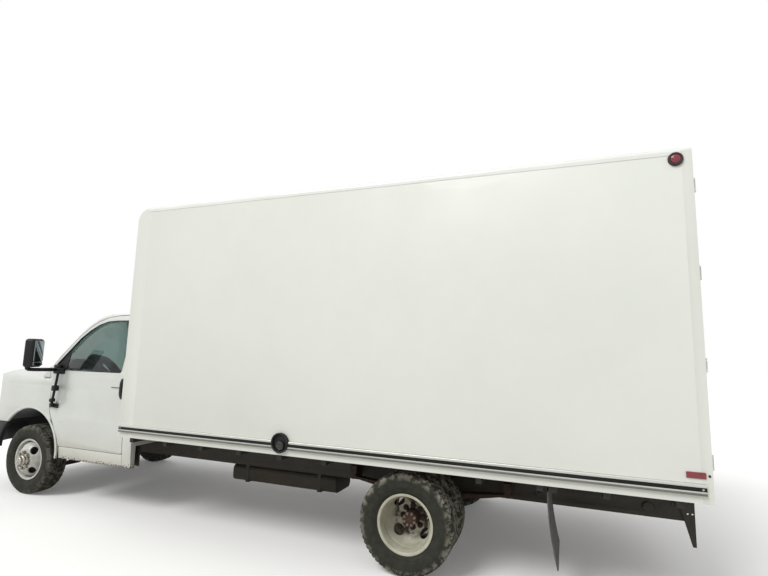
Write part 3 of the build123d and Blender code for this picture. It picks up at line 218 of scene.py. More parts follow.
def joined(name, shapes, sharp=35.0):
    """A mesh object made of shapes: doubles merge, faces turn outward, edges past an angle stay sharp."""
    starts = np.cumsum([0] + [len(points) for points, faces in shapes])
    points = np.concatenate([points for points, faces in shapes])
    faces = np.concatenate([faces + start for (_, faces), start in zip(shapes, starts)])
    mesh = bpy.data.meshes.new(name)
    mesh.vertices.add(len(points))
    mesh.vertices.foreach_set("co", points.ravel())
    mesh.loops.add(faces.size)
    mesh.loops.foreach_set("vertex_index", faces.ravel())
    mesh.polygons.add(len(faces))
    mesh.polygons.foreach_set("loop_start", np.arange(0, faces.size, 4))
    mesh.update(calc_edges=True)
    work = bmesh.new()
    work.from_mesh(mesh)
    bmesh.ops.remove_doubles(work, verts=work.verts, dist=1e-6)
    bmesh.ops.dissolve_degenerate(work, edges=work.edges, dist=1e-7)
    bmesh.ops.recalc_face_normals(work, faces=work.faces)
    work.to_mesh(mesh)
    work.free()
    mesh.polygons.foreach_set("use_smooth", [True] * len(mesh.polygons))
    mesh.set_sharp_from_angle(angle=math.radians(sharp))
    made = bpy.data.objects.new(name, mesh)
    bpy.context.scene.collection.objects.link(made)
    return made


def piece(name, shapes, material, body, stands_for=(), sharp=35.0):
    """One finished object of the truck: it wears a material, rides on a body and may replace nodes."""
    made = joined(name, shapes, sharp)
    made.data.materials.append(material)
    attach(made, body)
    if stands_for:
        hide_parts(*stands_for)
    return made


def mirrored(shapes, sign):
    """The same shapes on the truck's left (+1) or right (-1) side: Y times the sign."""
    return [(points * (1, sign, 1), faces) for points, faces in shapes]


sides = (("left", 1), ("right", -1))
tyre_section = np.array([
    # from the middle of the tread out to the bead: along the axle, radius, depth of the cross grooves
    (0.0000, 0.3720, 0.000), (0.0105, 0.3720, 0.000), (0.0118, 0.3625, 0.000), (0.0192, 0.3625, 0.000),
    (0.0205, 0.3718, 0.004), (0.0415, 0.3712, 0.004), (0.0428, 0.3615, 0.000), (0.0502, 0.3612, 0.000),
    (0.0515, 0.3705, 0.009), (0.0700, 0.3698, 0.009), (0.0870, 0.3680, 0.009), (0.0945, 0.3640, 0.008),
    (0.1000, 0.3570, 0.006), (0.1030, 0.3480, 0.000), (0.1056, 0.3465, 0.000), (0.1088, 0.3350, 0.000),
    (0.1118, 0.3150, 0.000), (0.1125, 0.2920, 0.000), (0.1112, 0.2720, 0.000), (0.1070, 0.2570, 0.000),
    (0.1030, 0.2525, 0.000), (0.1032, 0.2480, 0.000), (0.0990, 0.2400, 0.000), (0.0900, 0.2300, 0.000),
    (0.0850, 0.2215, 0.000), (0.0825, 0.2040, 0.000),
])
tyre_columns, pitch_columns = 240, 4
shoulder = 0.08


def tyre(centre_x, centre_y):
    """A ring: each section row is turned about the axle, sunk by its cross groove once in each pitch.

    The cut's column moves on with the row, which slants the grooves across the shoulder.
    """
    outer = tyre_section[::-1]
    rows = np.concatenate([outer, tyre_section[1:] * (-1, 1, 1)])
    slant = (np.abs(rows[:, 0]) > shoulder).astype(int) + (rows[:, 0] < 0) * 2
    column = np.arange(tyre_columns)
    cut = (column[None, :] + slant[:, None]) % pitch_columns == 0
    angle = column * 2 * np.pi / tyre_columns
    radius = rows[:, 1:2] - rows[:, 2:3] * cut
    along = np.repeat(rows[:, 0:1] + centre_y, tyre_columns, axis=1)
    points = np.stack([centre_x + radius * np.cos(angle), along,
                       front_axle[2] + radius * np.sin(angle)], axis=-1)
    return surface(points, wrap_rows=True, wrap_columns=True)


# Moulded carbon-black rubber: matt and nearly black, with a pale bloom of dust near the tread.
tyre_rubber = {
    kind: finish(f"{kind} tyre rubber", "#292a24", "#35362e", 0.8, patch=0.05, grain=0.003, depth=0.0003,
                 Specular_IOR_Level=0.25, centre=centre, dust_and_shade="#8b897d", dust_and_shade_from=0.315, dust_and_shade_to=0.355,
                 dust_and_shade_most=most)
    for kind, centre, most in (("front", front_axle, 0.4), ("rear", rear_axle, 0.9))
}
front_track, outer_dual, inner_dual = 0.871, 1.043, 0.771
for side, sign in sides:
    piece(f"front_tread_{side}", [tyre(front_axle[0], sign * front_track)], tyre_rubber["front"],
          f"front_wheel_{side}", [f"front_tyre_{side}"], sharp=28)
    piece(f"rear_tread_{side}", [tyre(rear_axle[0], sign * middle) for middle in (outer_dual, inner_dual)],
          tyre_rubber["rear"], f"rear_wheel_{side}", [f"rear_tyres_{side}"], sharp=28)


# Steel wheels: a dropped rim and a deep pressed disc with four hand holes, in cream enamel. The
# rear pair is bolted back to back, so the outer one is a deep dish; rust runs out from the hub.
def softened(outline, reach, steps=4, closed=True):
    """A polyline whose corners become parabolic bends that start a reach before each corner."""
    corner = np.array(outline, dtype=float)
    ends = []
    for toward in (1, -1):
        line = np.roll(corner, toward, axis=0) - corner
        length = np.maximum(np.linalg.norm(line, axis=1), 1e-9)
        ends.append(corner + line * np.minimum(0.45, reach / length)[:, None])
    start, end = ends
    share = np.linspace(0, 1, steps + 1)[None, :, None]
    bend = ((1 - share) ** 2 * start[:, None] + 2 * share * (1 - share) * corner[:, None]
            + share ** 2 * end[:, None])
    if not closed:
        return np.vstack([corner[:1], bend[1:-1].reshape(-1, corner.shape[1]), corner[-1:]])
    return bend.reshape(-1, corner.shape[1])


def turned(outline, centre, columns=96, toward=1, closed=True):
    """An outline of (along the axle, radius) points, turned about the line along Y through a centre."""
    along, radius = np.array(outline, dtype=float).T[:, :, None]
    angle = np.linspace(0, 2 * np.pi, columns, endpoint=False)[None, :]
    points = np.stack([centre[0] + radius * np.cos(angle), centre[1] + toward * along + 0 * angle,
                       centre[2] + radius * np.sin(angle)], axis=-1)
    return surface(points, wrap_rows=closed, wrap_columns=True)


def plate(outline, span):
    """A closed plate: a star-shaped outline in X and Z, carried from one Y to another, ends closed."""
    outline = np.array(outline)
    middle = np.broadcast_to(outline.mean(axis=0), outline.shape)
    rows = [np.insert(flat, 1, y, axis=1) for flat, y in ((middle, span[0]), (outline, span[0]),
                                                          (outline, span[1]), (middle, span[1]))]
    return surface(np.stack(rows), wrap_columns=True)


def carve(target, shapes):
    """Cut closed shapes out of a piece for good."""
    cutter = joined("cutter", shapes)
    cut = target.modifiers.new("cut", "BOOLEAN")
    cut.operation = "DIFFERENCE"
    cut.solver = "EXACT"
    cut.object = cutter
    graph = bpy.context.evaluated_depsgraph_get()
    carved = bpy.data.meshes.new_from_object(target.evaluated_get(graph), depsgraph=graph)
    target.modifiers.clear()
    target.data = carved
    bpy.data.objects.remove(cutter)


def nut(place, radius, height, toward):
    """A nut, its washer and stud: outlines in parts of its size turned about Y, the nut in six columns."""
    nut_outline = [(0, 0), (0, 1), (0.85, 1), (1, 0.9), (1, 0)]
    washer_outline = [(0, 0), (0, 1.25), (0.14, 1.2), (0.14, 0)]
    stud_outline = [(0, 0), (0, 0.42), (1.3, 0.42), (1.4, 0.3), (1.4, 0)]
    return [turned(np.array(outline) * (height, radius), place, columns, toward, closed=False)
            for outline, columns in ((nut_outline, 6), (washer_outline, 20), (stud_outline, 14))]


def on_circle(centre, along, radius, count, start=0.0):
    """Places round a wheel's axis at one radius, evenly spaced from a start angle."""
    angles = start + np.arange(count) * 2 * np.pi / count
    return [np.array([centre[0] + radius * math.cos(a), along, centre[2] + radius * math.sin(a)])
            for a in angles]


rim_outline = [(-0.089, 0.2210), (-0.083, 0.2030), (-0.042, 0.2014), (-0.030, 0.1960), (0.030, 0.1960),
               (0.042, 0.2014), (0.083, 0.2030), (0.089, 0.2210), (0.092, 0.2205), (0.0895, 0.1998),
               (0.080, 0.1988), (0.074, 0.1968), (0.030, 0.1920), (-0.030, 0.1920), (-0.074, 0.1968),
               (-0.080, 0.1988), (-0.0895, 0.1998), (-0.092, 0.2205)]
disc_outline = [(-0.004, 0.1925), (0.060, 0.1850), (0.102, 0.1640), (0.136, 0.1180), (0.136, 0.0500),
                (0.127, 0.0500), (0.127, 0.1130), (0.094, 0.1570), (0.054, 0.1770), (-0.004, 0.1880)]
hub_outline = [(-0.060, 0.0), (-0.060, 0.056), (0.030, 0.056), (0.036, 0.044), (0.058, 0.042),
               (0.066, 0.032), (0.068, 0.0)]
collar_outline = [(-0.010, 0.055), (-0.010, 0.070), (0.008, 0.070), (0.012, 0.064), (0.012, 0.055)]
brake_outline = [(-0.110, 0.0), (-0.110, 0.150), (-0.084, 0.150), (-0.084, 0.0)]
drum_outline = [(-0.207, 0.052), (-0.207, 0.148), (-0.011, 0.148), (-0.011, 0.052)]
rear_hub_outline = [(-0.011, 0.0), (-0.011, 0.066), (0.030, 0.058), (0.084, 0.046), (0.088, 0.056),
                    (0.102, 0.056), (0.107, 0.026), (0.107, 0.0)]
stem_outline = [(0, 0), (0, 0.006), (0.045, 0.005), (0.045, 0)]
hand_hole_half = (0.047, 0.029)
hand_hole_circle, hand_holes = 0.147, 4
wheel_offset = 0.136
stud_circle, studs = 0.0825, 8
lug_nut, shaft_bolt = (0.019, 0.024), (0.0105, 0.012)
shaft_bolt_circle, stem_circle = 0.043, 0.172


def steel_rim(centre, toward):
    """The dropped rim: its rounded outline turned about the axle."""
    return turned(softened(rim_outline, 0.006, 3), centre, 128, toward)


def steel_disc(centre, toward):
    """The pressed disc: its rounded outline turned about the axle."""
    return turned(softened(disc_outline, 0.016, 5), centre, 128, toward)


def hand_hole_cutters(centre, low, high):
    """Long rounded holes: ellipses whose long axis follows the circle, carried along the axle."""
    cutters = []
    round_about = np.linspace(0, 2 * np.pi, 28, endpoint=False)[:, None]
    long_way = hand_hole_half[0] * np.cos(round_about)
    short_way = hand_hole_half[1] * np.sin(round_about)
    for place in on_circle(centre, 0.0, hand_hole_circle, hand_holes, np.pi / 4):
        out = (place - centre)[[0, 2]] / hand_hole_circle
        along = np.array([-out[1], out[0]])
        cutters.append(plate(place[[0, 2]] + long_way * along + short_way * out, sorted((low, high))))
    return cutters


# Baked cream enamel gone matt: chalky, with rust spreading over the nave.
rear_enamel = finish("cream wheel enamel with hub rust", "#b9b7a6", "#a3a08d", 0.5, patch=0.10, coat=0.1,
                     grain=0.004, depth=0.0002, centre=rear_axle, dust_and_shade="#2f241d", dust_and_shade_from=0.165,
                     dust_and_shade_to=0.128, dust_and_shade_most=1.0)
# The same enamel, fresher: a soft shine, and a dark ring round the hub that is painted shade between the
# nuts.
front_enamel = finish("pale wheel enamel with a dirty nave", "#c4c5bf", "#a3a298", 0.36, patch=0.08,
                      coat=0.25, grain=0.004, depth=0.0002, centre=front_axle, dust_and_shade="#2b2824",
                      dust_and_shade_from=0.102, dust_and_shade_to=0.088, dust_and_shade_most=1.0)
# Cast discs behind the hand holes: dark iron, coloured almost black as painted shade seen through the holes.
brake_iron_and_shade = finish("sooty brake iron", "#171513", "#241e1a", 0.8, patch=0.04, grain=0.003, depth=0.0008)
# Forged iron that was never painted: deep brown and scaly.
hub_rust = finish("rusted hub iron", "#2e211a", "#463329", 0.85, patch=0.03, grain=0.0025, depth=0.0015)
# Bolts rusted since the last service: lighter and pinker than the hub they hold.
bolt_rust = finish("dusty flash-rusted bolts", "#8b7468", "#6f5a50", 0.8, patch=0.02, grain=0.002,
                   depth=0.0006)
# Zinc plating: a pale metal with blurred highlights.
bright_steel = finish("bright zinc-plated steel", "#b9b6ae", "#8d8577", 0.35, patch=0.03, metallic=0.85,
                      grain=0.002, depth=0.0002)
for side, sign in sides:
    body = f"front_wheel_{side}"
    front = np.array([front_axle[0], sign * front_track, front_axle[2]])
    face_y = sign * (front_track + wheel_offset)
    face = (front[0], face_y, front[2])
    piece(f"front_rim_{side}", [steel_rim(front, sign)], front_enamel, body, [f"front_wheel_{side}"])
    disc = piece(f"front_disc_{side}", [steel_disc(front, sign)], front_enamel, body)
    carve(disc, hand_hole_cutters(front, front[1] - sign * 0.01, face_y + sign * 0.02))
    brake = turned(softened(brake_outline, 0.003, 2, closed=False), face, 96, sign, closed=False)
    piece(f"front_brake_{side}", [brake], brake_iron_and_shade, body)
    hub = [turned(softened(hub_outline, 0.005, 3, closed=False), face, 64, sign, closed=False),
           turned(softened(collar_outline, 0.002, 2), face, 64, sign)]
    for place in on_circle(front, face_y, stud_circle, studs):
        hub += nut(place, *lug_nut, sign)
    piece(f"front_hub_{side}", hub, bright_steel, body)

    body = f"rear_wheel_{side}"
    outer = np.array([rear_axle[0], sign * outer_dual, rear_axle[2]])
    inner = np.array([rear_axle[0], sign * inner_dual, rear_axle[2]])
    mount_y = sign * (outer_dual - wheel_offset)
    piece(f"rear_rims_{side}", [steel_rim(outer, -sign), steel_rim(inner, sign)], rear_enamel, body,
          [f"rear_wheels_{side}"])
    for place, centre, toward in (("outer", outer, -sign), ("inner", inner, sign)):
        disc = piece(f"rear_disc_{place}_{side}", [steel_disc(centre, toward)], rear_enamel, body)
        carve(disc, hand_hole_cutters(outer, centre[1] - toward * 0.01, centre[1] + toward * 0.16))
    mount = (rear_axle[0], mount_y, rear_axle[2])
    hub = [turned(softened(drum_outline, 0.006, 3), mount, 96, sign),
           turned(softened(rear_hub_outline, 0.005, 3, closed=False), mount, 64, sign, closed=False)]
    for place in on_circle(outer, mount_y + sign * 0.009, stud_circle, studs):
        hub += nut(place, *lug_nut, sign)
    piece(f"rear_hub_{side}", hub, hub_rust, body)
    shaft_bolts = []
    for place in on_circle(outer, mount_y + sign * 0.101, shaft_bolt_circle, studs, np.pi / 8):
        shaft_bolts += nut(place, *shaft_bolt, sign)
    piece(f"shaft_bolts_{side}", shaft_bolts, bolt_rust, body)
    stem_place = on_circle(outer, outer[1] - sign * 0.01, stem_circle, 1, np.pi * 0.9)[0]
    stem = turned(stem_outline, stem_place, 10, sign, closed=False)
    piece(f"valve_stem_{side}", [stem], bright_steel, body)


# Mud flaps: thick rubber sheets behind the rear wheels, bolted under a bearer and swung back a
# little at the foot, grey with road dust.
def sweep(path, section, across=(0, 1, 0), closed=False, taper=None):
    """A section of (across, normal) points carried along a path, its ends closed to the path.

    The across direction is made square to the path's tangent; the normal is their cross product.
    """
    path, section = np.array(path, dtype=float), np.array(section, dtype=float)
    ahead, behind = (np.roll(path, -1, axis=0), np.roll(path, 1, axis=0)) if closed else (
        np.vstack([path[1:], path[-1:]]), np.vstack([path[:1], path[:-1]]))
    tangent = ahead - behind
    tangent /= np.linalg.norm(tangent, axis=1)[:, None]
    sideways = np.array(across, dtype=float) - tangent * (tangent @ np.array(across, dtype=float))[:, None]
    sideways /= np.linalg.norm(sideways, axis=1)[:, None]
    normal = np.cross(tangent, sideways)
    size = np.ones(len(path)) if taper is None else np.array(taper)
    points = path[:, None] + size[:, None, None] * (section[None, :, :1] * sideways[:, None]
                                                    + section[None, :, 1:] * normal[:, None])
    if not closed:
        ends = [np.broadcast_to(end, points[0].shape)[None] for end in (path[0], path[-1])]
        points = np.concatenate([ends[0], points, ends[1]])
    return surface(points, wrap_rows=closed, wrap_columns=True)


def circle(radius, sides_of=12):
    """Points of a circle, for a sweep's section."""
    angle = np.arange(sides_of) * 2 * np.pi / sides_of
    return radius * np.stack([np.cos(angle), np.sin(angle)], axis=1)


def bar(width, thickness, corner=0.002):
    """A rounded rectangle, for a sweep's section."""
    a, b = width / 2, thickness / 2
    return softened([(-a, -b), (a, -b), (a, b), (-a, b)], corner, 2)


# Sheet rubber: flat grey with dust, no shine.
mud_rubber = finish("dusty mud flap rubber", "#4d4c4c", "#63615c", 0.85, patch=0.12, grain=0.004,
                    depth=0.0004)
flap_low, flap_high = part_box("mud_flaps")
flap_across, flap_thick, flap_swing = 0.56, 0.009, 0.055
for side, sign in sides:
    height = np.linspace(0, 1, 16)
    front_x = flap_high[0] - 0.012
    path = np.stack([front_x - flap_swing * (1 - height) ** 2,
                     np.full(16, sign * (flap_high[1] - flap_across / 2)),
                     flap_low[2] + (flap_high[2] - flap_low[2]) * height], axis=1)
    piece(f"mud_flap_{side}", [sweep(path, bar(flap_across, flap_thick, 0.004))], mud_rubber, "chassis")
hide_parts("mud_flaps")


# The load box: plywood panels with a white glassfibre skin, bonded to one smooth side. A rounded
# aluminium rail caps the joint of side and roof, and a steel portal frames the two rear doors.
rail_outer, rail_inner = 0.0285, 0.0245
rail_skirt, rail_lap = -0.022, -0.020
# Gelcoat over plywood: clean even white, a faint sheen, hardly a trace of dirt.
panel_white = finish("white gelcoat on plywood", "#e6e8e1", "#e0e3db", 0.48, patch=1.6, grain=0.35,
                     depth=0.0004, coat=0.08, grime_and_shade="#b5ad9f", grime_and_shade_low=0.75, grime_and_shade_high=1.3,
                     grime_and_shade_most=0.06)
dress(["box_nose", "box_sides", "box_roof"], panel_white, 0.0004)
dress(["rear_door_left", "rear_door_right"], panel_white, 0.004)
# Brushed-on enamel: the panels' white again, slightly orange-peeled and dirtier at the sill.
portal_paint = finish("white enamel on steel portal", "#e6e8e1", "#e0e3db", 0.48, patch=0.9, coat=0.08,
                      grain=0.2, depth=0.0003, grime_and_shade="#b5ad9f", grime_and_shade_low=0.75, grime_and_shade_high=1.3,
                      grime_and_shade_most=0.1)
dress(["box_rear_portal"], portal_paint, 0.003)
# Powder-coated extrusion, shinier than the panels, its colour a little whiter as a painted highlight along
# the edge.
rail_white = finish("white coated aluminium rail", "#f0f2ee", "#e6e9e3", 0.22, patch=0.6, coat=0.6)
# Oiled oak boards worn by loads: brown, with grain drawn out along the floor.
floor_wood = finish("laminated floor oak", "#8a6a48", "#6d5238", 0.7, patch=0.3, stretch=(0.1, 1, 1))
dress(["box_floor"], floor_wood, 0.002)
box_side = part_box("box_sides")[1][1]
roof_low, roof_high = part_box("box_roof")
cap_back, cap_front = roof_low[0] + 0.002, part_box("box_nose")[1][0] - 0.150
arc = np.linspace(0, np.pi / 2, 9)
outside = np.stack([rail_outer * np.cos(arc), rail_outer * np.sin(arc)], axis=1)
inside = np.stack([rail_inner * np.cos(arc[::-1]), rail_inner * np.sin(arc[::-1])], axis=1)
section = np.vstack([(rail_outer, rail_skirt), outside, (rail_lap, rail_outer), (rail_lap, rail_inner),
                     inside, (rail_inner, rail_skirt)])
for side, sign in sides:
    edge_y, edge_z = sign * (box_side - 0.026), roof_high[2] - 0.031
    along = np.array([(cap_back, edge_y, edge_z), (cap_front, edge_y, edge_z)])
    ring = np.stack([np.zeros(len(section)), sign * section[:, 0], section[:, 1]], axis=1)
    piece(f"roof_rail_{side}", [surface(along[:, None] + ring[None], wrap_columns=True)], rail_white,
          "chassis")


# Each rear door hangs on four strap hinges and locks with an upright rod: a zinc-plated tube turned
# by a flat handle, held in pressed keepers, with a cam at each end. Rubber closes the gap round it.
def facing_rear(shapes):
    """Shapes worked out along Y, laid along X instead: their first two coordinates change places."""
    return [(points[:, [1, 0, 2]], faces) for points, faces in shapes]


def slab(spans, radius, steps=3):
    """A box with rounded edges: a ball whose eight octants are pushed out to the box's corners."""
    low, high = np.array(spans, dtype=float).T
    middle = (low + high) / 2
    quarter = np.linspace(0, np.pi / 2, steps + 1)
    turn_angle = np.concatenate([quarter + k * np.pi / 2 for k in range(4)])
    rise = np.concatenate([quarter - np.pi / 2, quarter])[:, None]
    ball = np.stack([np.cos(rise) * np.cos(turn_angle), np.cos(rise) * np.sin(turn_angle),
                     np.sin(rise) + 0 * turn_angle], axis=-1)
    out = np.stack([np.broadcast_to(np.repeat([1, -1, -1, 1], steps + 1), ball.shape[:2]),
                    np.broadcast_to(np.repeat([1, 1, -1, -1], steps + 1), ball.shape[:2]),
                    np.repeat([[-1], [1]], steps + 1, axis=0) + 0 * turn_angle], axis=-1)
    points = middle + radius * ball + ((high - low) / 2 - radius) * out
    caps = [np.broadcast_to(middle * (1, 1, 0) + (0, 0, z), points[:1].shape) for z in (low[2], high[2])]
    return surface(np.concatenate([caps[0], points, caps[1]]), wrap_columns=True)


def about(middle, half):
    """A span that reaches as far below a middle as above it."""
    return middle - half, middle + half


# Zinc over rolled steel: a dull silver grey with broad, soft highlights.
zinc_steel = finish("zinc-plated steel", "#a5a49d", "#7f7d76", 0.42, patch=0.1, metallic=0.8, grain=0.003,
                    depth=0.0002)
# Extruded door rubber: matt black line that sets the white leaves apart.
gasket_rubber = finish("black door rubber", "#1d1e1d", "#2a2a28", 0.75, patch=0.2)
box_rear = front_axle[0] - 6.477
door_low, door_high, door_edge, door_inner = 0.874, 2.957, 1.155, 0.004
rod_x, rod_y, rod_radius = box_rear - 0.014, 0.170, 0.013
handle_reach, grip_z = 0.330, door_low + 0.402
keeper_radius, plate_half = 0.0155, 0.028
rivet_outline = [(0, 0.007), (0.003, 0.006), (0.004, 0.0)]
bolt_outline = [(0, 0.010), (0.004, 0.008), (0.006, 0.0)]
pin_x, pin_y, pin_radius = box_rear - 0.0125, 1.159, 0.0095

gear = [sweep([(rod_x, rod_y, z) for z in (door_low + 0.012, 1.8, door_high - 0.012)],
              circle(rod_radius, 20), across=(0, 1, 0))]
for height in np.linspace(door_low + 0.075, door_high - 0.075, 4):
    strap = [(box_rear + 0.001, rod_y + at, height) for at in (-0.030, -0.017)]
    strap += [(rod_x - keeper_radius * math.cos(a), rod_y + keeper_radius * math.sin(a), height)
              for a in np.linspace(-np.pi / 2, np.pi / 2, 11)]
    strap += [(box_rear + 0.001, rod_y + at, height) for at in (0.017, 0.030)]
    gear.append(sweep(strap, bar(0.044, 0.003, 0.001), across=(0, 0, 1)))
    gear.append(slab([(box_rear - 0.001, box_rear + 0.003), about(rod_y, 0.030), about(height, plate_half)],
                     0.0015))
    gear += facing_rear([turned(rivet_outline, (rod_y + at, box_rear - 0.001, height), 12, -1, closed=False)
                         for at in (-0.024, 0.024)])
for height in (door_low + 0.020, door_high - 0.020):
    cam = [(rod_x - 0.008, rod_y + at, height) for at in (-0.020, 0.012)]
    gear.append(sweep(cam, bar(0.026, 0.012, 0.004), across=(0, 0, 1)))
grip = softened([(rod_x - 0.002, rod_y, grip_z), (rod_x - 0.008, rod_y + 0.05, grip_z),
                 (rod_x - 0.006, rod_y + handle_reach - 0.05, grip_z),
                 (rod_x - 0.009, rod_y + handle_reach, grip_z)], 0.03, 5, closed=False)
gear.append(sweep(grip, bar(0.030, 0.006, 0.0025), across=(0, 0, 1)))
gear.append(slab([(rod_x - 0.012, rod_x + 0.014), about(rod_y, 0.018), about(grip_z, 0.020)], 0.005))
gear.append(slab([(rod_x - 0.004, box_rear + 0.003), (rod_y + 0.255, rod_y + 0.285),
                  (grip_z - 0.030, grip_z + 0.024)], 0.004))

hinges = []
for height in np.linspace(door_low + 0.156, door_high - 0.156, 4):
    leaf = [(box_rear - 0.0005, door_edge - at, height) for at in (0.260, 0.006)]
    hinges.append(sweep(leaf, bar(0.052, 0.006, 0.002), across=(0, 0, 1)))
    barrel = [(pin_x, pin_y, z) for z in about(height, plate_half)]
    hinges.append(sweep(barrel, circle(pin_radius, 20), across=(0, 1, 0)))
    hinges.append(slab([(box_rear - 0.012, box_rear + 0.002), (door_edge - 0.022, 1.160),
                        about(height, plate_half)], 0.003))
    hinges += facing_rear([turned(bolt_outline, (door_edge - at, box_rear - 0.003, height), 16, -1,
                                  closed=False) for at in (0.060, 0.145, 0.230)])

rim_low, rim_high = door_low - 0.001, door_high + 0.001
rim = [(door_inner, rim_low), (door_edge, rim_low), (door_edge, rim_high), (door_inner, rim_high)]
rubber = sweep(softened([(box_rear + 0.001, y, z) for y, z in rim], 0.012, 3), bar(0.005, 0.012, 0.002),
               across=(1, 0, 0), closed=True)
for side, sign in sides:
    body = f"load_door_{side}"
    piece(f"lock_gear_{side}", mirrored(gear, sign), zinc_steel, body, [f"rear_door_gear_{side}"],
          sharp=40)
    piece(f"door_hinges_{side}", mirrored(hinges, sign), portal_paint, body, sharp=40)
    piece(f"door_gasket_{side}", mirrored([rubber], sign), gasket_rubber, body)


# Rub rails along both sides: extruded aluminium with a black vinyl insert in its groove and a strip of
# painted shade in grey along its lower lip, held by screws at the ends.
rail_sections = {
    # outlines as (out from the panel, up from the rail's foot), then the point that closes their ends
    "bar": (softened([(0.000, 0.000), (0.016, 0.000), (0.021, 0.005), (0.021, 0.026), (0.009, 0.026),
                      (0.009, 0.050), (0.021, 0.050), (0.021, 0.065), (0.016, 0.070), (0.000, 0.070)],
                     0.0015, 2), (0.0045, 0.038)),
    "insert": (softened([(0.009, 0.026), (0.019, 0.026), (0.019, 0.050), (0.009, 0.050)], 0.002, 2),
               (0.014, 0.038)),
    "strip": (softened([(0.020, 0.003), (0.0225, 0.003), (0.0225, 0.017), (0.020, 0.017)], 0.001, 2),
              (0.021, 0.010)),
}
screw_outline = [(0, 0), (0.0, 0.007), (0.002, 0.006), (0.0035, 0.0)]
# Mill-finish metal: pale silver drawn into long streaks, greyer towards the foot as painted shade of the
# lower face.
aluminium = finish("extruded aluminium", "#d4d5d1", "#bcbdb6", 0.34, patch=0.5, metallic=0.8, grain=0.0015,
                   stretch=(0.04, 1, 1), grime_and_shade="#5b5850", grime_and_shade_low=0.80, grime_and_shade_high=0.93, grime_and_shade_most=0.35)
# Soft extruded vinyl: a plain black line, nearly without shine.
insert_black = finish("black vinyl insert", "#141615", "#1d201e", 0.55, patch=0.2, Specular_IOR_Level=0.2)
# Dull mid grey streaked along its run: painted shade on the lip's lower face.
lip_shade_grey = finish("road-dulled grey vinyl", "#646660", "#7b7c75", 0.7, patch=0.06, stretch=(0.2, 1, 1))
insert_low, insert_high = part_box("rub_rail_inserts")
rail_start, rail_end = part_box("rub_rails")
filler_low, filler_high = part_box("fuel_filler")
filler_place = (filler_low + filler_high) / 2
filler_radius = (filler_high[2] - filler_low[2]) / 2


def rail_run(kind, ends):
    """A rail section carried along X between two ends; an end given as None is the filler's.

    There each point's X is the circle's, from its height: the root of the radius squared less the
    height above the centre squared.
    """
    outline, heart = rail_sections[kind]
    out, up = np.vstack([outline, heart]).T
    height = rail_start[2] + up
    around = np.sqrt((filler_radius + 0.001) ** 2 - (height - filler_place[2]) ** 2)
    rows = []
    for x, toward in zip(ends, (1, -1)):
        place = np.full(len(up), x) if x is not None else filler_place[0] + toward * around
        loop = np.stack([place, box_side + out, height], axis=1)
        middle = np.broadcast_to(loop[-1], loop[:-1].shape)
        rows += [middle, loop[:-1]] if toward > 0 else [loop[:-1], middle]
    return surface(np.stack(rows), wrap_columns=True)


bars, inserts, strips, screws = [], [], [], []
rail_back, rail_front = rail_start[0], rail_end[0]
for side, sign in sides:
    runs = [(rail_back, None), (None, rail_front)] if side == "left" else [(rail_back, rail_front)]
    for kind, made in (("bar", bars), ("insert", inserts), ("strip", strips)):
        made += mirrored([rail_run(kind, run) for run in runs], sign)
    for x in (insert_low[0] + 0.02, insert_high[0] - 0.02):
        place = (x, sign * insert_high[1], (insert_low[2] + insert_high[2]) / 2)
        screws.append(turned(screw_outline, place, 16, sign, closed=False))
piece("rub_rail_bars", bars, aluminium, "chassis", ["rub_rails"])
piece("rub_rail_vinyl", inserts, insert_black, "chassis", ["rub_rail_inserts"])
piece("rub_rail_screws", screws, bright_steel, "chassis")
piece("rub_rail_strips", strips, lip_shade_grey, "chassis")


# The fuel filler: a black moulded cup let into the left side, with the neck and its screw cap low in
# the cup, tipped up toward the hand. The cap has a grip bar and a worn edge.
def turned_about(shapes, pivot, angle, plane=(0, 1)):
    """The same shapes turned through an angle in the plane of two axes, about a pivot."""
    spin = np.eye(3)
    first, second = plane
    spin[first, first] = spin[second, second] = math.cos(angle)
    spin[first, second], spin[second, first] = math.sin(angle), -math.sin(angle)
    return [((points - pivot) @ spin + pivot, faces) for points, faces in shapes]


cup_radius, cup_floor = 0.068, 0.026
cup_outline = [(-cup_floor - 0.003, 0.0), (-cup_floor - 0.003, filler_radius - 0.002),
               (-0.002, filler_radius), (0.0, filler_radius - 0.008), (-0.003, cup_radius),
               (-cup_floor, cup_radius - 0.008), (-cup_floor, 0.0)]
cap_outline = [(-0.006, 0.0), (-0.006, 0.035), (0.0, 0.036), (0.008, 0.036), (0.010, 0.030),
               (0.006, 0.028), (0.006, 0.0)]
cap_tip = math.radians(-8)
# Moulded nylon: satin black, the darkest spot on the white side.
cup_black = finish("black moulded cup", "#131413", "#1c1d1c", 0.5, patch=0.05, grain=0.002, depth=0.0003,
                   Specular_IOR_Level=0.3)
# The same plastic worn by hands: charcoal with a slight polish.
cap_plastic = finish("worn black cap plastic", "#3c3e3d", "#2a2c2b", 0.35, patch=0.02, grain=0.002,
                     depth=0.0003)
filler_face = np.array([filler_place[0], filler_high[1], filler_place[2]])
cup = turned(softened(cup_outline, 0.004, 3, closed=False), filler_face, 80, closed=False)
piece("filler_cup", [cup], cup_black, "chassis", ["fuel_filler"])
cap_place = filler_face + (0, -cup_floor + 0.010, -0.022)
cap = [turned(softened(cap_outline, 0.002, 3, closed=False), cap_place, 48, closed=False),
       slab([about(cap_place[0], 0.028), (cap_place[1] + 0.002, cap_place[1] + 0.018),
             about(cap_place[2], 0.006)], 0.004)]
piece("filler_cap", turned_about(cap, cap_place, cap_tip, (1, 2)), cap_plastic, "chassis")


# Side lamps: a round red marker in a black rubber ring high at the rear corner, and a red reflector
# low beside it. Each is a moulded lens with ribs inside, screwed to the panel.
def ahead(back, front):
    """A span along the truck between two places measured ahead of the front axle."""
    return front_axle[0] + back, front_axle[0] + front


